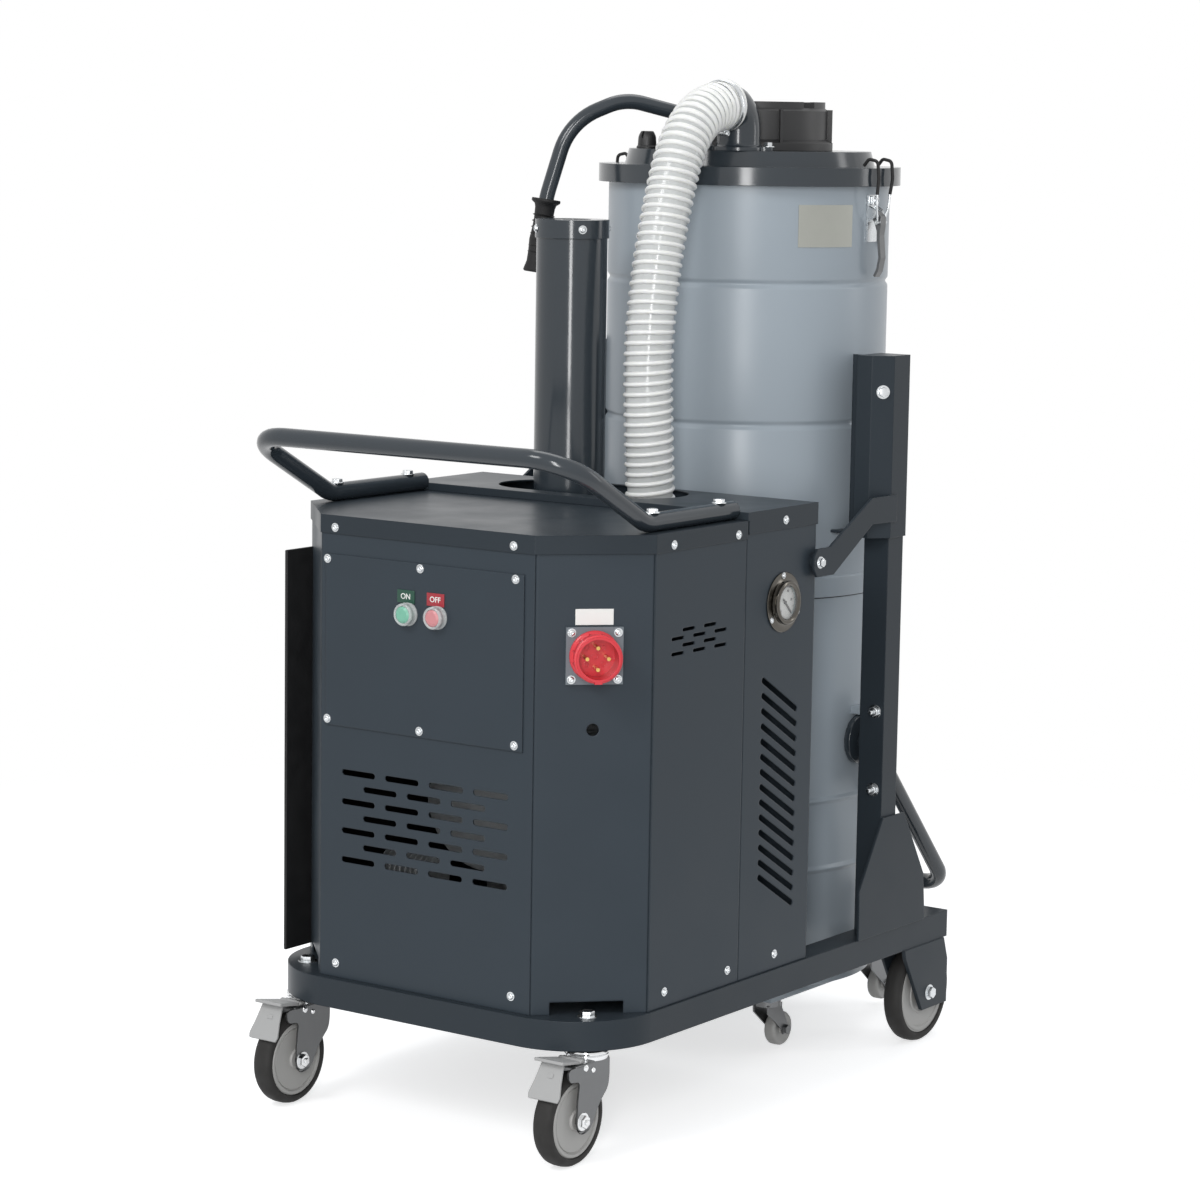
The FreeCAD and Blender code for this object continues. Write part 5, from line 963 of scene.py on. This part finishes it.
class CLEANER_OT_castors(bpy.types.Operator):
    """Make the braked castors at the front"""

    bl_idname = "cleaner.castors"
    bl_label = "Front castors"

    ARM = ((67, 140), (67, 111), (64, 97), (51, 85), (43, 76.5), (37, 66), (29, 53), (20, 46.5), (10, 44.8), (2, 47.5),
           (-3, 56), (-2, 90), (1.5, 117), (-22, 120), (-24, 137))
    TYRE = ((50, -11), (51.5, -14), (55, -14.8), (59.2, -12.8), (61.6, -9), (62.5, -4), (62.5, 4), (61.6, 9), (59.2, 12.8),
            (55, 14.8), (51.5, 14), (50, 11))
    CENTRE = ((6.1, 15.5), (12.5, 15.5), (13.5, 14.5), (14, 12.6), (42.2, 12.3), (43, 10.6), (44.2, 10.6), (45, 13.8),
              (48.8, 13.8), (50.4, 12))
    TREAD = ((-19, 23), (19, 23), (23, -19), (23, -23), (-23, -23), (-23, -19))
    APRON = ((-17, 2), (17, 2), (21, -25), (25, -43), (23, -50), (-23, -50), (-25, -43), (-21, -25))

    def execute(self, context):
        for hand, side in SIDES:
            x = CASTOR_X * side
            fork, wheel, pedal = (name + hand for name in ("castor_fork_", "castor_wheel_", "brake_pedal_"))
            bm = bmesh.new()
            for start in (21, -24):
                sheet(bm, self.ARM, 3, facing(at(x + start, 0, 0), RIGHT), 6)
            slab(bm, (48, 74, 4), Matrix.Translation(at(x, CASTOR_BACK - 18, 137)), 1.5)
            piece("castor_yoke_" + hand, bm, "pressed_steel", fork, (fork,), edge=0.8)
            bm = bmesh.new()
            lathe(bm, ((7, 150.4), (26, 150.4), (29.3, 149.4), (30, 147.5), (29.2, 145.6), (27.6, 144.6), (29, 143.6),
                       (29.4, 142), (28, 138), (23, 136.2), (7, 136.2)), Matrix.Translation(at(x, CASTOR_BACK, 0)), 64,
                  closed=True)
            for arm in (1, -1):
                hex_head(bm, facing(at(x + 24 * arm, CASTOR_AXLE_BACK, CASTOR_AXLE_UP), RIGHT * arm), 9, 5)
                lathe(bm, ((0, 9), (3, 9), (4, 8), (4, 5)), facing(at(x + 24 * arm, CASTOR_AXLE_BACK, CASTOR_AXLE_UP),
                                                                  RIGHT * arm), 24)
                lathe(bm, ((0, 2.6), (2.5, 2.3), (4.3, 1.2), (4.8, 0)),
                      facing(at(x + 24 * arm, 13.8, 133), RIGHT * arm), 24)
                lathe(bm, ((0, 1.8), (2, 1.6), (3.4, 0.8), (3.8, 0)),
                      facing(at(x + 24 * arm, 31, 127), RIGHT * arm), 24)
            piece("castor_head_" + hand, bm, "chrome_plate", fork)
            axle = facing(at(x, CASTOR_AXLE_BACK, CASTOR_AXLE_UP), RIGHT)
            bm = bmesh.new()
            lathe(bm, self.TYRE, axle, 96, closed=True)
            piece("castor_tyre_" + hand, bm, "tyre_rubber", wheel, (wheel,), split=50)
            bm = bmesh.new()
            lathe(bm, mirrored(self.CENTRE), axle, 96, closed=True)
            piece("castor_centre_" + hand, bm, "grey_polypropylene", wheel)
            bm = bmesh.new()
            tread = facing(at(x, -15, 142.5), (0, 9, 49), BACK)
            apron = facing(at(x, -24, 143), (0, -45, 22))
            sheet(bm, self.TREAD, 4.2, tread, 2)
            sheet(bm, self.APRON, 3.6, apron, 1.5)
            for across in (10, -10):
                slab(bm, (2, 26, 7), apron @ Matrix.Translation((across * MM, -12 * MM, -1 * MM)), 0.6)
            slab(bm, (8, 6, 1.2), apron @ Matrix.Translation((3 * MM, -17 * MM, 4.2 * MM)), 0.4)
            lathe(bm, ((0, -18.5), (5.5, -18.5), (5.5, 18.5), (0, 18.5)), facing(at(x, 13.8, 138), RIGHT), 32)
            piece("castor_pedal_" + hand, bm, "pale_polyamide", pedal, (pedal,), edge=0.9)
        return {"FINISHED"}


def mirrored(profile):
    """A closed wheel section from its upper half."""
    return [*profile, *((radius, -high) for radius, high in reversed(profile))]


class CLEANER_OT_wheels(bpy.types.Operator):
    """Make the rear wheels and the small wheels of the bin"""

    bl_idname = "cleaner.wheels"
    bl_label = "Rear and bin wheels"

    TYRE = ((61, 10), (62.5, 13.4), (66.5, 14.3), (71, 12.6), (73.8, 9), (75, 4))
    CENTRE = ((8.1, 14.8), (16.5, 14.8), (17.6, 13.4), (18.2, 10.5), (29, 10.5), (30, 11.8), (33, 11.8), (34, 10.5),
              (52, 10.5), (53, 12.2), (58.5, 12.2), (59.4, 11.2), (61.3, 11.2))
    SMALL = ((4.1, 9.4), (8, 9.4), (8.8, 8), (18.5, 8), (20, 9.2), (23, 8.8), (24.7, 6.4), (25, 3))

    def execute(self, context):
        for hand, side in SIDES:
            body = "rear_wheel_" + hand
            axle = facing(at(REAR_WHEEL_X * side, REAR_WHEEL_BACK, REAR_WHEEL_UP), RIGHT)
            bm = bmesh.new()
            lathe(bm, mirrored(self.TYRE), axle, 96, closed=True)
            piece("rear_tyre_" + hand, bm, "tyre_rubber", body, (body,), split=50)
            bm = bmesh.new()
            lathe(bm, mirrored(self.CENTRE), axle, 96, closed=True)
            piece("rear_centre_" + hand, bm, "grey_polypropylene", body)
            for name, x, behind in (("front", BIN_FORK_X, BIN_FORK_BACK), ("rear", BIN_REAR_X, BIN_REAR_BACK)):
                body = f"bin_{name}_wheel_{hand}"
                bm = bmesh.new()
                lathe(bm, mirrored(self.SMALL), facing(at(x * side, behind + BIN_TRAIL, BIN_AXLE_UP), RIGHT), 64, closed=True)
                piece(f"bin_{name}_roller_{hand}", bm, "grey_polypropylene", body, (body,), split=50)
        return {"FINISHED"}


class CLEANER_OT_fastenings(bpy.types.Operator):
    """Set the screws of the panels, the cover and the silencer"""

    bl_idname = "cleaner.fastenings"
    bl_label = "Screws"

    FRONT = ((-152.9, 806.2), (145, 806.6), (-149.7, 211), (147.7, 212.5))
    SIDE = ((151.5, 806.4), (303.7, 805.9), (150, 211.9), (300.7, 211.9), (418.3, 212.5))
    COVER = ((-165.7, 763.5), (-7.9, 763.4), (148.8, 763.6), (-165.2, 546.5), (-7.3, 546.9), (149.4, 546.2))

    def execute(self, context):
        radius = sizes().screw_head / MM
        ahead = -BACK
        bm = bmesh.new()
        for x, up in self.FRONT:
            behind = 0 if up > 797.7 else 2
            screw(bm, facing(at(x, behind, up), ahead), radius)
        for x, up in self.COVER:
            screw(bm, facing(at(x, 0, up), ahead), radius)
        for hand, side in SIDES:
            for behind, up in self.SIDE:
                out = 291 if up > 797.7 else 289
                screw(bm, facing(at(out * side, behind, up), RIGHT * side), radius)
            screw(bm, facing(at(291 * side, 420, 816), RIGHT * side), radius)
        for quarter in range(4):
            turn = math.radians(90 * quarter + 52)
            out = Vector((math.cos(turn), math.sin(turn), 0))
            screw(bm, facing(at(-78, 425, 1198) + out * 52.2 * MM, out), radius)
        piece("panel_screws", bm, "bright_zinc", split=40)
        return {"FINISHED"}


class CLEANER_OT_bolts(bpy.types.Operator):
    """Set the bolts of the handle, the struts and the posts, the kingpins and the rear axles"""

    bl_idname = "cleaner.bolts"
    bl_label = "Bolts"

    HANDLE_X, HANDLE_TOP, POST_OUT, RAIL_END = 265.0, 847.5, 292.0, 294.3

    def execute(self, context):
        head = sizes().bolt_head / MM
        bm = bmesh.new()
        for hand, side in SIDES:
            out = RIGHT * side
            for behind in (138, 294):
                hex_head(bm, Matrix.Translation(at(self.HANDLE_X * side, behind, self.HANDLE_TOP)), head, 4.5)
            hex_head(bm, facing(at((self.POST_OUT + 8) * side, 497, 751), out), head * 0.86, 5)
            hex_head(bm, facing(at(284.3 * side, 678.7, 975), (side, -1, 0)), head, 5)
            for up in (515, 401):
                post = facing(at((self.POST_OUT - 15) * side, 692, up), -BACK)
                hex_head(bm, post, head, 5)
                lathe(bm, ((0, 15), (2.6, 15), (3.4, 14), (3.4, 6)), post, 24)
            lathe(bm, ((0, 137), (6, 137), (6, TRAY_TOP + 8)), Matrix.Translation(at(CASTOR_X * side, CASTOR_BACK, 0)), 32)
            hex_head(bm, Matrix.Translation(at(CASTOR_X * side, CASTOR_BACK, TRAY_TOP)), 10, 7)
            axle = facing(at(self.RAIL_END * side, REAR_WHEEL_BACK, REAR_WHEEL_UP), out)
            lathe(bm, ((0, -46), (8, -46), (8, 0)), axle, 32)
            hex_head(bm, axle, 8.6, 6.5)
        piece("frame_bolts", bm, "bright_zinc", split=40)
        return {"FINISHED"}


class CLEANER_OT_buttons(bpy.types.Operator):
    """Make the legends and the soft boots of the push buttons"""

    bl_idname = "cleaner.buttons"
    bl_label = "Push buttons"

    def execute(self, context):
        for word, x, finish in (("ON", ON_X, "green_legend"), ("OFF", OFF_X, "red_legend")):
            plate = facing(at(x - 3, 0, 724.5), -BACK)
            bm = bmesh.new()
            slab(bm, (29, 17.5, 1.6), plate @ Matrix.Translation((0, 0, 0.8 * MM)), 0.7)
            piece("legend_" + word.lower(), bm, finish)
            bm = bmesh.new()
            words(bm, word, 7.5, plate @ Matrix.Translation((0, 0, 1.7 * MM)))
            piece("word_" + word.lower(), bm, "white_print", merge=False)
        bm = bmesh.new()
        for x in (ON_X, OFF_X):
            boot = facing(at(x, 0, BUTTON_UP), -BACK)
            profile = ((11.3, 0), (16, 0), (16, 1.4), (14.2, 2), (13.4, 4), (13.4, 7), (14.6, 8.2), (15.2, 10), (14.9, 12),
                       (13.6, 13.2), (12.2, 13.4), (11.3, 12.4))
            lathe(bm, profile, boot, 64, closed=True)
        piece("button_boots", bm, "clear_silicone", replaces=("button_bezels",), split=60)
        return {"FINISHED"}


class CLEANER_OT_inlet(bpy.types.Operator):
    """Finish the mains inlet: its lip, screws, mouldings and the bare plate above it"""

    bl_idname = "cleaner.inlet"
    bl_label = "Mains inlet"

    def execute(self, context):
        base = facing(at(INLET_X, INLET_BACK, INLET_UP), CORNER_OUT)
        lift = Matrix.Translation((0, 0, 5 * MM))
        bm = bmesh.new()
        lathe(bm, ((28.6, 31.5), (31.2, 31.5), (32, 32.5), (32, 34.6), (31, 35.6), (26.2, 35.6), (26.2, 34)), base, 96)
        lathe(bm, ((28.6, 5), (33.5, 5), (33, 7.5), (31, 9), (28.6, 10)), base, 96)
        for turn in range(12):
            rib = base @ Matrix.Rotation(math.radians(30 * turn + 15), 4, "Z") @ Matrix.Translation((29.4 * MM, 0, 20 * MM))
            slab(bm, (2.4, 2.2, 24), rib, 0.6)
        piece("inlet_lip", bm, "red_polyamide", edge=0.4, split=50)
        bm = bmesh.new()
        for turn in range(4):
            ring = base @ Matrix.Rotation(math.radians(90 * turn + 45), 4, "Z") @ Matrix.Translation((15 * MM, 0, 8 * MM))
            lathe(bm, ((2.4, 0), (2.4, 1.2), (3.6, 1.2), (3.6, 0)), ring, 24)
        lathe(bm, ((3, 8), (3, 9.4), (4.6, 9.4), (4.6, 8)), base, 24)
        piece("inlet_mouldings", bm, "red_polyamide", split=50)
        bm = bmesh.new()
        for x in (1, -1):
            for y in (1, -1):
                screw(bm, base @ lift @ Matrix.Translation((30.5 * x * MM, 30.5 * y * MM, 0)), 4.2)
        piece("inlet_screws", bm, "bright_zinc", split=40)
        bm = bmesh.new()
        slab(bm, (50, 21, 1.2), facing(at(233.4, 56.8, 716.7), CORNER_OUT) @ Matrix.Translation((0, 0, 0.6 * MM)), 0)
        piece("bare_plate", bm, "white_print", edge=0.5)
        return {"FINISHED"}


class CLEANER_OT_data_plate(bpy.types.Operator):
    """Make the bare plate on the drum, bent to its curve"""

    bl_idname = "cleaner.data_plate"
    bl_label = "Bare plate on the drum"

    def execute(self, context):
        bm = bmesh.new()
        verts = [bm.verts.new((radius * MM, 0, up * MM))
                 for radius, up in ((205.8, 1175.3), (206.6, 1175.3), (206.6, 1235), (205.8, 1235))]
        bm.faces.new(verts)
        bmesh.ops.spin(bm, geom=bm.verts[:] + bm.edges[:] + bm.faces[:], cent=(0, 0, 0), axis=(0, 0, 1),
                       angle=math.radians(25.7), steps=16, use_duplicate=False)
        bm.transform(Matrix.Translation(at(0, DRUM_BACK, 0)) @ Matrix.Rotation(math.radians(-36.9), 4, "Z"))
        piece("drum_plate", bm, "brushed_plate", split=30)
        return {"FINISHED"}


class CLEANER_OT_inside(bpy.types.Operator):
    """Line the cabinet's left side with a black sheet, painted shade behind its slots, and set the finned motor parts
    seen through the grille
    """

    bl_idname = "cleaner.inside"
    bl_label = "Inside the cabinet"

    def execute(self, context):
        bm = bmesh.new()
        # A black sheet inside the left side: painted shade that stands for the dark inside seen through the slots.
        slab(bm, (5, 400, 560), Matrix.Translation(at(-282, 250, 480)), 1.5)
        piece("painted_shade_sheet", bm, "black_rubber")
        bm = bmesh.new()
        axle = facing(at(-128, 96, 330), RIGHT)
        fins = [(0, 0)]
        for fin in range(9):
            fins += [(24, fin * 9), (32, fin * 9 + 0.6), (32, fin * 9 + 2.6), (24, fin * 9 + 3.2)]
        lathe(bm, [*fins, (24, 81), (0, 81)], axle, 48)
        piece("motor_fins", bm, "cast_aluminium")
        return {"FINISHED"}


class CLEANER_OT_gauge(bpy.types.Operator):
    """Make the dial of the vacuum gauge and its screws"""

    bl_idname = "cleaner.gauge"
    bl_label = "Vacuum gauge"

    SWEEP, START, MARKS = 270, -45, 10

    def execute(self, context):
        centre = facing(at(GAUGE_X, GAUGE_BACK, GAUGE_UP), RIGHT)
        face = centre @ Matrix.Translation((0, 0, 3 * MM))
        bm = bmesh.new()
        lathe(bm, ((1.7, 0.2), (26.9, 0.2), (26.9, 0)), face, 64)
        piece("gauge_dial", bm, "white_print")
        bm = bmesh.new()
        lathe(bm, ((27.1, 0), (40.6, 0), (41.2, 0.6), (41.2, 1.9), (40.5, 2.5), (31, 2.5), (29.8, 3.2), (29.4, 6.2), (30.2, 7),
                   (30.4, 9), (29.6, 10.8), (27.6, 11.8), (25.4, 11.6), (23.6, 10.6), (22.6, 9.2), (27.1, 9.1)), centre, 96,
              closed=True)
        piece("gauge_bezel", bm, "polished_steel", replaces=("gauge_case",))
        bm = bmesh.new()
        for mark in range(self.MARKS * 5 + 1):
            turn = math.radians(self.START + self.SWEEP * mark / (self.MARKS * 5))
            long = 3.4 if mark % 5 == 0 else 1.8
            tick = face @ Matrix.Rotation(turn, 4, "Z") @ Matrix.Translation(((24.6 - long / 2) * MM, 0, 0.25 * MM))
            slab(bm, (long, 0.5 if mark % 5 else 0.8, 0.1), tick)
        for step in range(0, self.MARKS + 1, 2):
            turn = math.radians(self.START + self.SWEEP * step / self.MARKS)
            spot = Matrix.Translation((16.6 * math.cos(turn) * MM, 16.6 * math.sin(turn) * MM, 0.25 * MM))
            words(bm, str(step * 10), 3.4, face @ spot)
        piece("gauge_marks", bm, "dial_black", merge=False)
        bm = bmesh.new()
        start = math.radians(self.START)
        verts = [bm.verts.new((radius * math.cos(start) * MM, radius * math.sin(start) * MM, 0.24 * MM))
                 for radius in (24.8, 26.2)]
        edge = bm.edges.new(verts)
        bmesh.ops.spin(bm, geom=[*verts, edge], cent=(0, 0, 0), axis=(0, 0, 1), angle=math.radians(self.SWEEP), steps=60,
                       use_duplicate=False)
        bm.transform(face)
        piece("gauge_arc", bm, "dial_blue")
        bm = bmesh.new()
        for turn in (95, 215, 335):
            spot = centre @ Matrix.Rotation(math.radians(turn), 4, "Z") @ Matrix.Translation((37.2 * MM, 0, 2.5 * MM))
            screw(bm, spot, 3.2)
        piece("gauge_screws", bm, "bright_zinc", split=40)
        return {"FINISHED"}


class CLEANER_OT_stage(bpy.types.Operator):
    """Place the floor, the lamps, the white surroundings and the camera"""

    bl_idname = "cleaner.stage"
    bl_label = "Studio"

    def camera(self):
        yaw, pitch, roll = (math.radians(turn) for turn in (CAMERA_YAW, CAMERA_PITCH, CAMERA_ROLL))
        ahead = Vector((-math.sin(yaw) * math.cos(pitch), math.cos(yaw) * math.cos(pitch), -math.sin(pitch)))
        level = Vector((math.cos(yaw), math.sin(yaw), 0))
        over = level.cross(ahead)
        side = level * math.cos(roll) + over * math.sin(roll)
        top = over * math.cos(roll) - level * math.sin(roll)
        lens = bpy.data.cameras.new("camera")
        lens.sensor_width = SENSOR
        lens.lens = SENSOR * FOCAL_PIXELS / PHOTO_SIDE
        lens.clip_end = 100
        camera = bpy.data.objects.new("camera", lens)
        matrix = Matrix((side, top, -ahead)).transposed().to_4x4()
        matrix.translation = at(*CAMERA_PLACE)
        camera.matrix_world = matrix
        bpy.context.scene.collection.objects.link(camera)
        bpy.context.scene.camera = camera

    def lamp(self, name, place, aim, wide, high, power):
        light = bpy.data.lights.new(name, "AREA")
        light.shape = "RECTANGLE"
        light.size = wide
        light.size_y = high
        light.energy = power
        lamp = bpy.data.objects.new(name, light)
        lamp.location = place
        lamp.rotation_mode = "QUATERNION"
        lamp.rotation_quaternion = (Vector(aim) - Vector(place)).to_track_quat("-Z", "Y")
        bpy.context.scene.collection.objects.link(lamp)

    def seen_directly(self, tree):
        """Light Path's camera, glossy and transmission rays as one factor."""
        rays = add(tree, "ShaderNodeLightPath").outputs
        glossy = add(tree, "ShaderNodeMath", {"operation": "MAXIMUM"})
        tree.links.new(rays["Is Camera Ray"], glossy.inputs[0])
        tree.links.new(rays["Is Glossy Ray"], glossy.inputs[1])
        every = add(tree, "ShaderNodeMath", {"operation": "MAXIMUM"})
        tree.links.new(glossy.outputs[0], every.inputs[0])
        tree.links.new(rays["Is Transmission Ray"], every.inputs[1])
        return every.outputs[0]

    def surroundings(self):
        world = bpy.data.worlds.new("surroundings")
        bpy.context.scene.world = world
        world.use_nodes = True
        tree = world.node_tree
        tree.nodes.clear()
        light = add(tree, "ShaderNodeBackground", {"Color": (0.93, 0.96, 1.0, 1), "Strength": 0.5})
        white = add(tree, "ShaderNodeBackground", {"Color": (1, 1, 1, 1), "Strength": 1.0})
        mix = add(tree, "ShaderNodeMixShader")
        tree.links.new(self.seen_directly(tree), mix.inputs[0])
        tree.links.new(light.outputs[0], mix.inputs[1])
        tree.links.new(white.outputs[0], mix.inputs[2])
        out = add(tree, "ShaderNodeOutputWorld")
        tree.links.new(mix.outputs[0], out.inputs["Surface"])

    def floor(self):
        material = bpy.data.materials.new("studio_floor")
        material.use_nodes = True
        tree = material.node_tree
        tree.nodes.clear()
        paint = add(tree, "ShaderNodeBsdfDiffuse", {"Color": (0.8, 0.8, 0.8, 1)})
        glow = add(tree, "ShaderNodeEmission", {"Color": (1, 1, 1, 1), "Strength": 0.64})
        shade = add(tree, "ShaderNodeBsdfDiffuse", {"Color": (0.42, 0.42, 0.42, 1)})
        near = add(tree, "ShaderNodeAddShader")
        tree.links.new(paint.outputs[0], near.inputs[0])
        tree.links.new(glow.outputs[0], near.inputs[1])
        far = add(tree, "ShaderNodeEmission", {"Color": (1, 1, 1, 1), "Strength": 1.0})
        place = add(tree, "ShaderNodeTexCoord").outputs["Object"]
        away = add(tree, "ShaderNodeVectorMath", {"operation": "LENGTH"})
        tree.links.new(place, away.inputs[0])
        fade = add(tree, "ShaderNodeMapRange", {"interpolation_type": "SMOOTHSTEP", "From Min": 1.1, "From Max": 2.4},
                   {"Value": away.outputs["Value"]})
        seen = add(tree, "ShaderNodeMixShader", {}, {"Fac": fade.outputs["Result"]})
        tree.links.new(near.outputs[0], seen.inputs[1])
        tree.links.new(far.outputs[0], seen.inputs[2])
        both = add(tree, "ShaderNodeMixShader", {}, {"Fac": self.seen_directly(tree)})
        tree.links.new(shade.outputs[0], both.inputs[1])
        tree.links.new(seen.outputs[0], both.inputs[2])
        out = add(tree, "ShaderNodeOutputMaterial")
        tree.links.new(both.outputs[0], out.inputs["Surface"])
        bm = bmesh.new()
        bmesh.ops.create_grid(bm, x_segments=2, y_segments=2, size=40)
        mesh = bpy.data.meshes.new("floor")
        bm.to_mesh(mesh)
        bm.free()
        mesh.materials.append(material)
        floor = bpy.data.objects.new("floor", mesh)
        bpy.context.scene.collection.objects.link(floor)

    def execute(self, context):
        bpy.context.scene.view_settings.view_transform = "Standard"
        self.camera()
        self.surroundings()
        self.floor()
        power = sizes().lamp_power
        aim = (0, 0, 0.7)
        self.lamp("key_lamp", (2.9, -4.6, 1.8), aim, 0.8, 3.4, power)
        self.lamp("high_lamp", (-0.3, -3.4, 3.4), aim, 1.2, 1.2, power * 0.35)
        self.lamp("rim_lamp", (3.2, 3.0, 2.2), aim, 0.6, 2.4, power * 0.12)
        self.lamp("top_lamp", (-0.6, 1.2, 4.2), aim, 2.0, 2.0, power * 0.2)
        return {"FINISHED"}


class CLEANER_PT_panel(bpy.types.Panel):
    """Everything that dresses the cleaner"""

    bl_idname = "CLEANER_PT_panel"
    bl_label = "Wheeled cleaner"
    bl_space_type = "VIEW_3D"
    bl_region_type = "UI"
    bl_category = "Cleaner"

    def draw(self, context):
        for group in (context.scene.cleaner_sizes, context.scene.cleaner_colours):
            for name in group.bl_rna.properties.keys():
                if name not in ("rna_type", "name"):
                    self.layout.prop(group, name)
        for operator in OPERATORS:
            self.layout.operator(operator.bl_idname)


OPERATORS = (
    CLEANER_OT_stage, CLEANER_OT_finishes, CLEANER_OT_hose, CLEANER_OT_drum, CLEANER_OT_dust_bin,
    CLEANER_OT_handle, CLEANER_OT_elbow, CLEANER_OT_lift_lever, CLEANER_OT_shaker, CLEANER_OT_knob, CLEANER_OT_latches,
    CLEANER_OT_castors, CLEANER_OT_wheels, CLEANER_OT_fastenings, CLEANER_OT_bolts, CLEANER_OT_buttons,
    CLEANER_OT_inlet, CLEANER_OT_data_plate, CLEANER_OT_inside, CLEANER_OT_gauge,
)
CLASSES = (CleanerColours, CleanerSizes, *OPERATORS, CLEANER_PT_panel)


def register():
    for made in CLASSES:
        bpy.utils.register_class(made)
    bpy.types.Scene.cleaner_colours = bpy.props.PointerProperty(type=CleanerColours)
    bpy.types.Scene.cleaner_sizes = bpy.props.PointerProperty(type=CleanerSizes)


def unregister():
    del bpy.types.Scene.cleaner_sizes
    del bpy.types.Scene.cleaner_colours
    for made in reversed(CLASSES):
        bpy.utils.unregister_class(made)


def main():
    register()
    for operator in OPERATORS:
        group, name = operator.bl_idname.split(".")
        getattr(getattr(bpy.ops, group), name)()


if __name__ == "__main__":
    main()
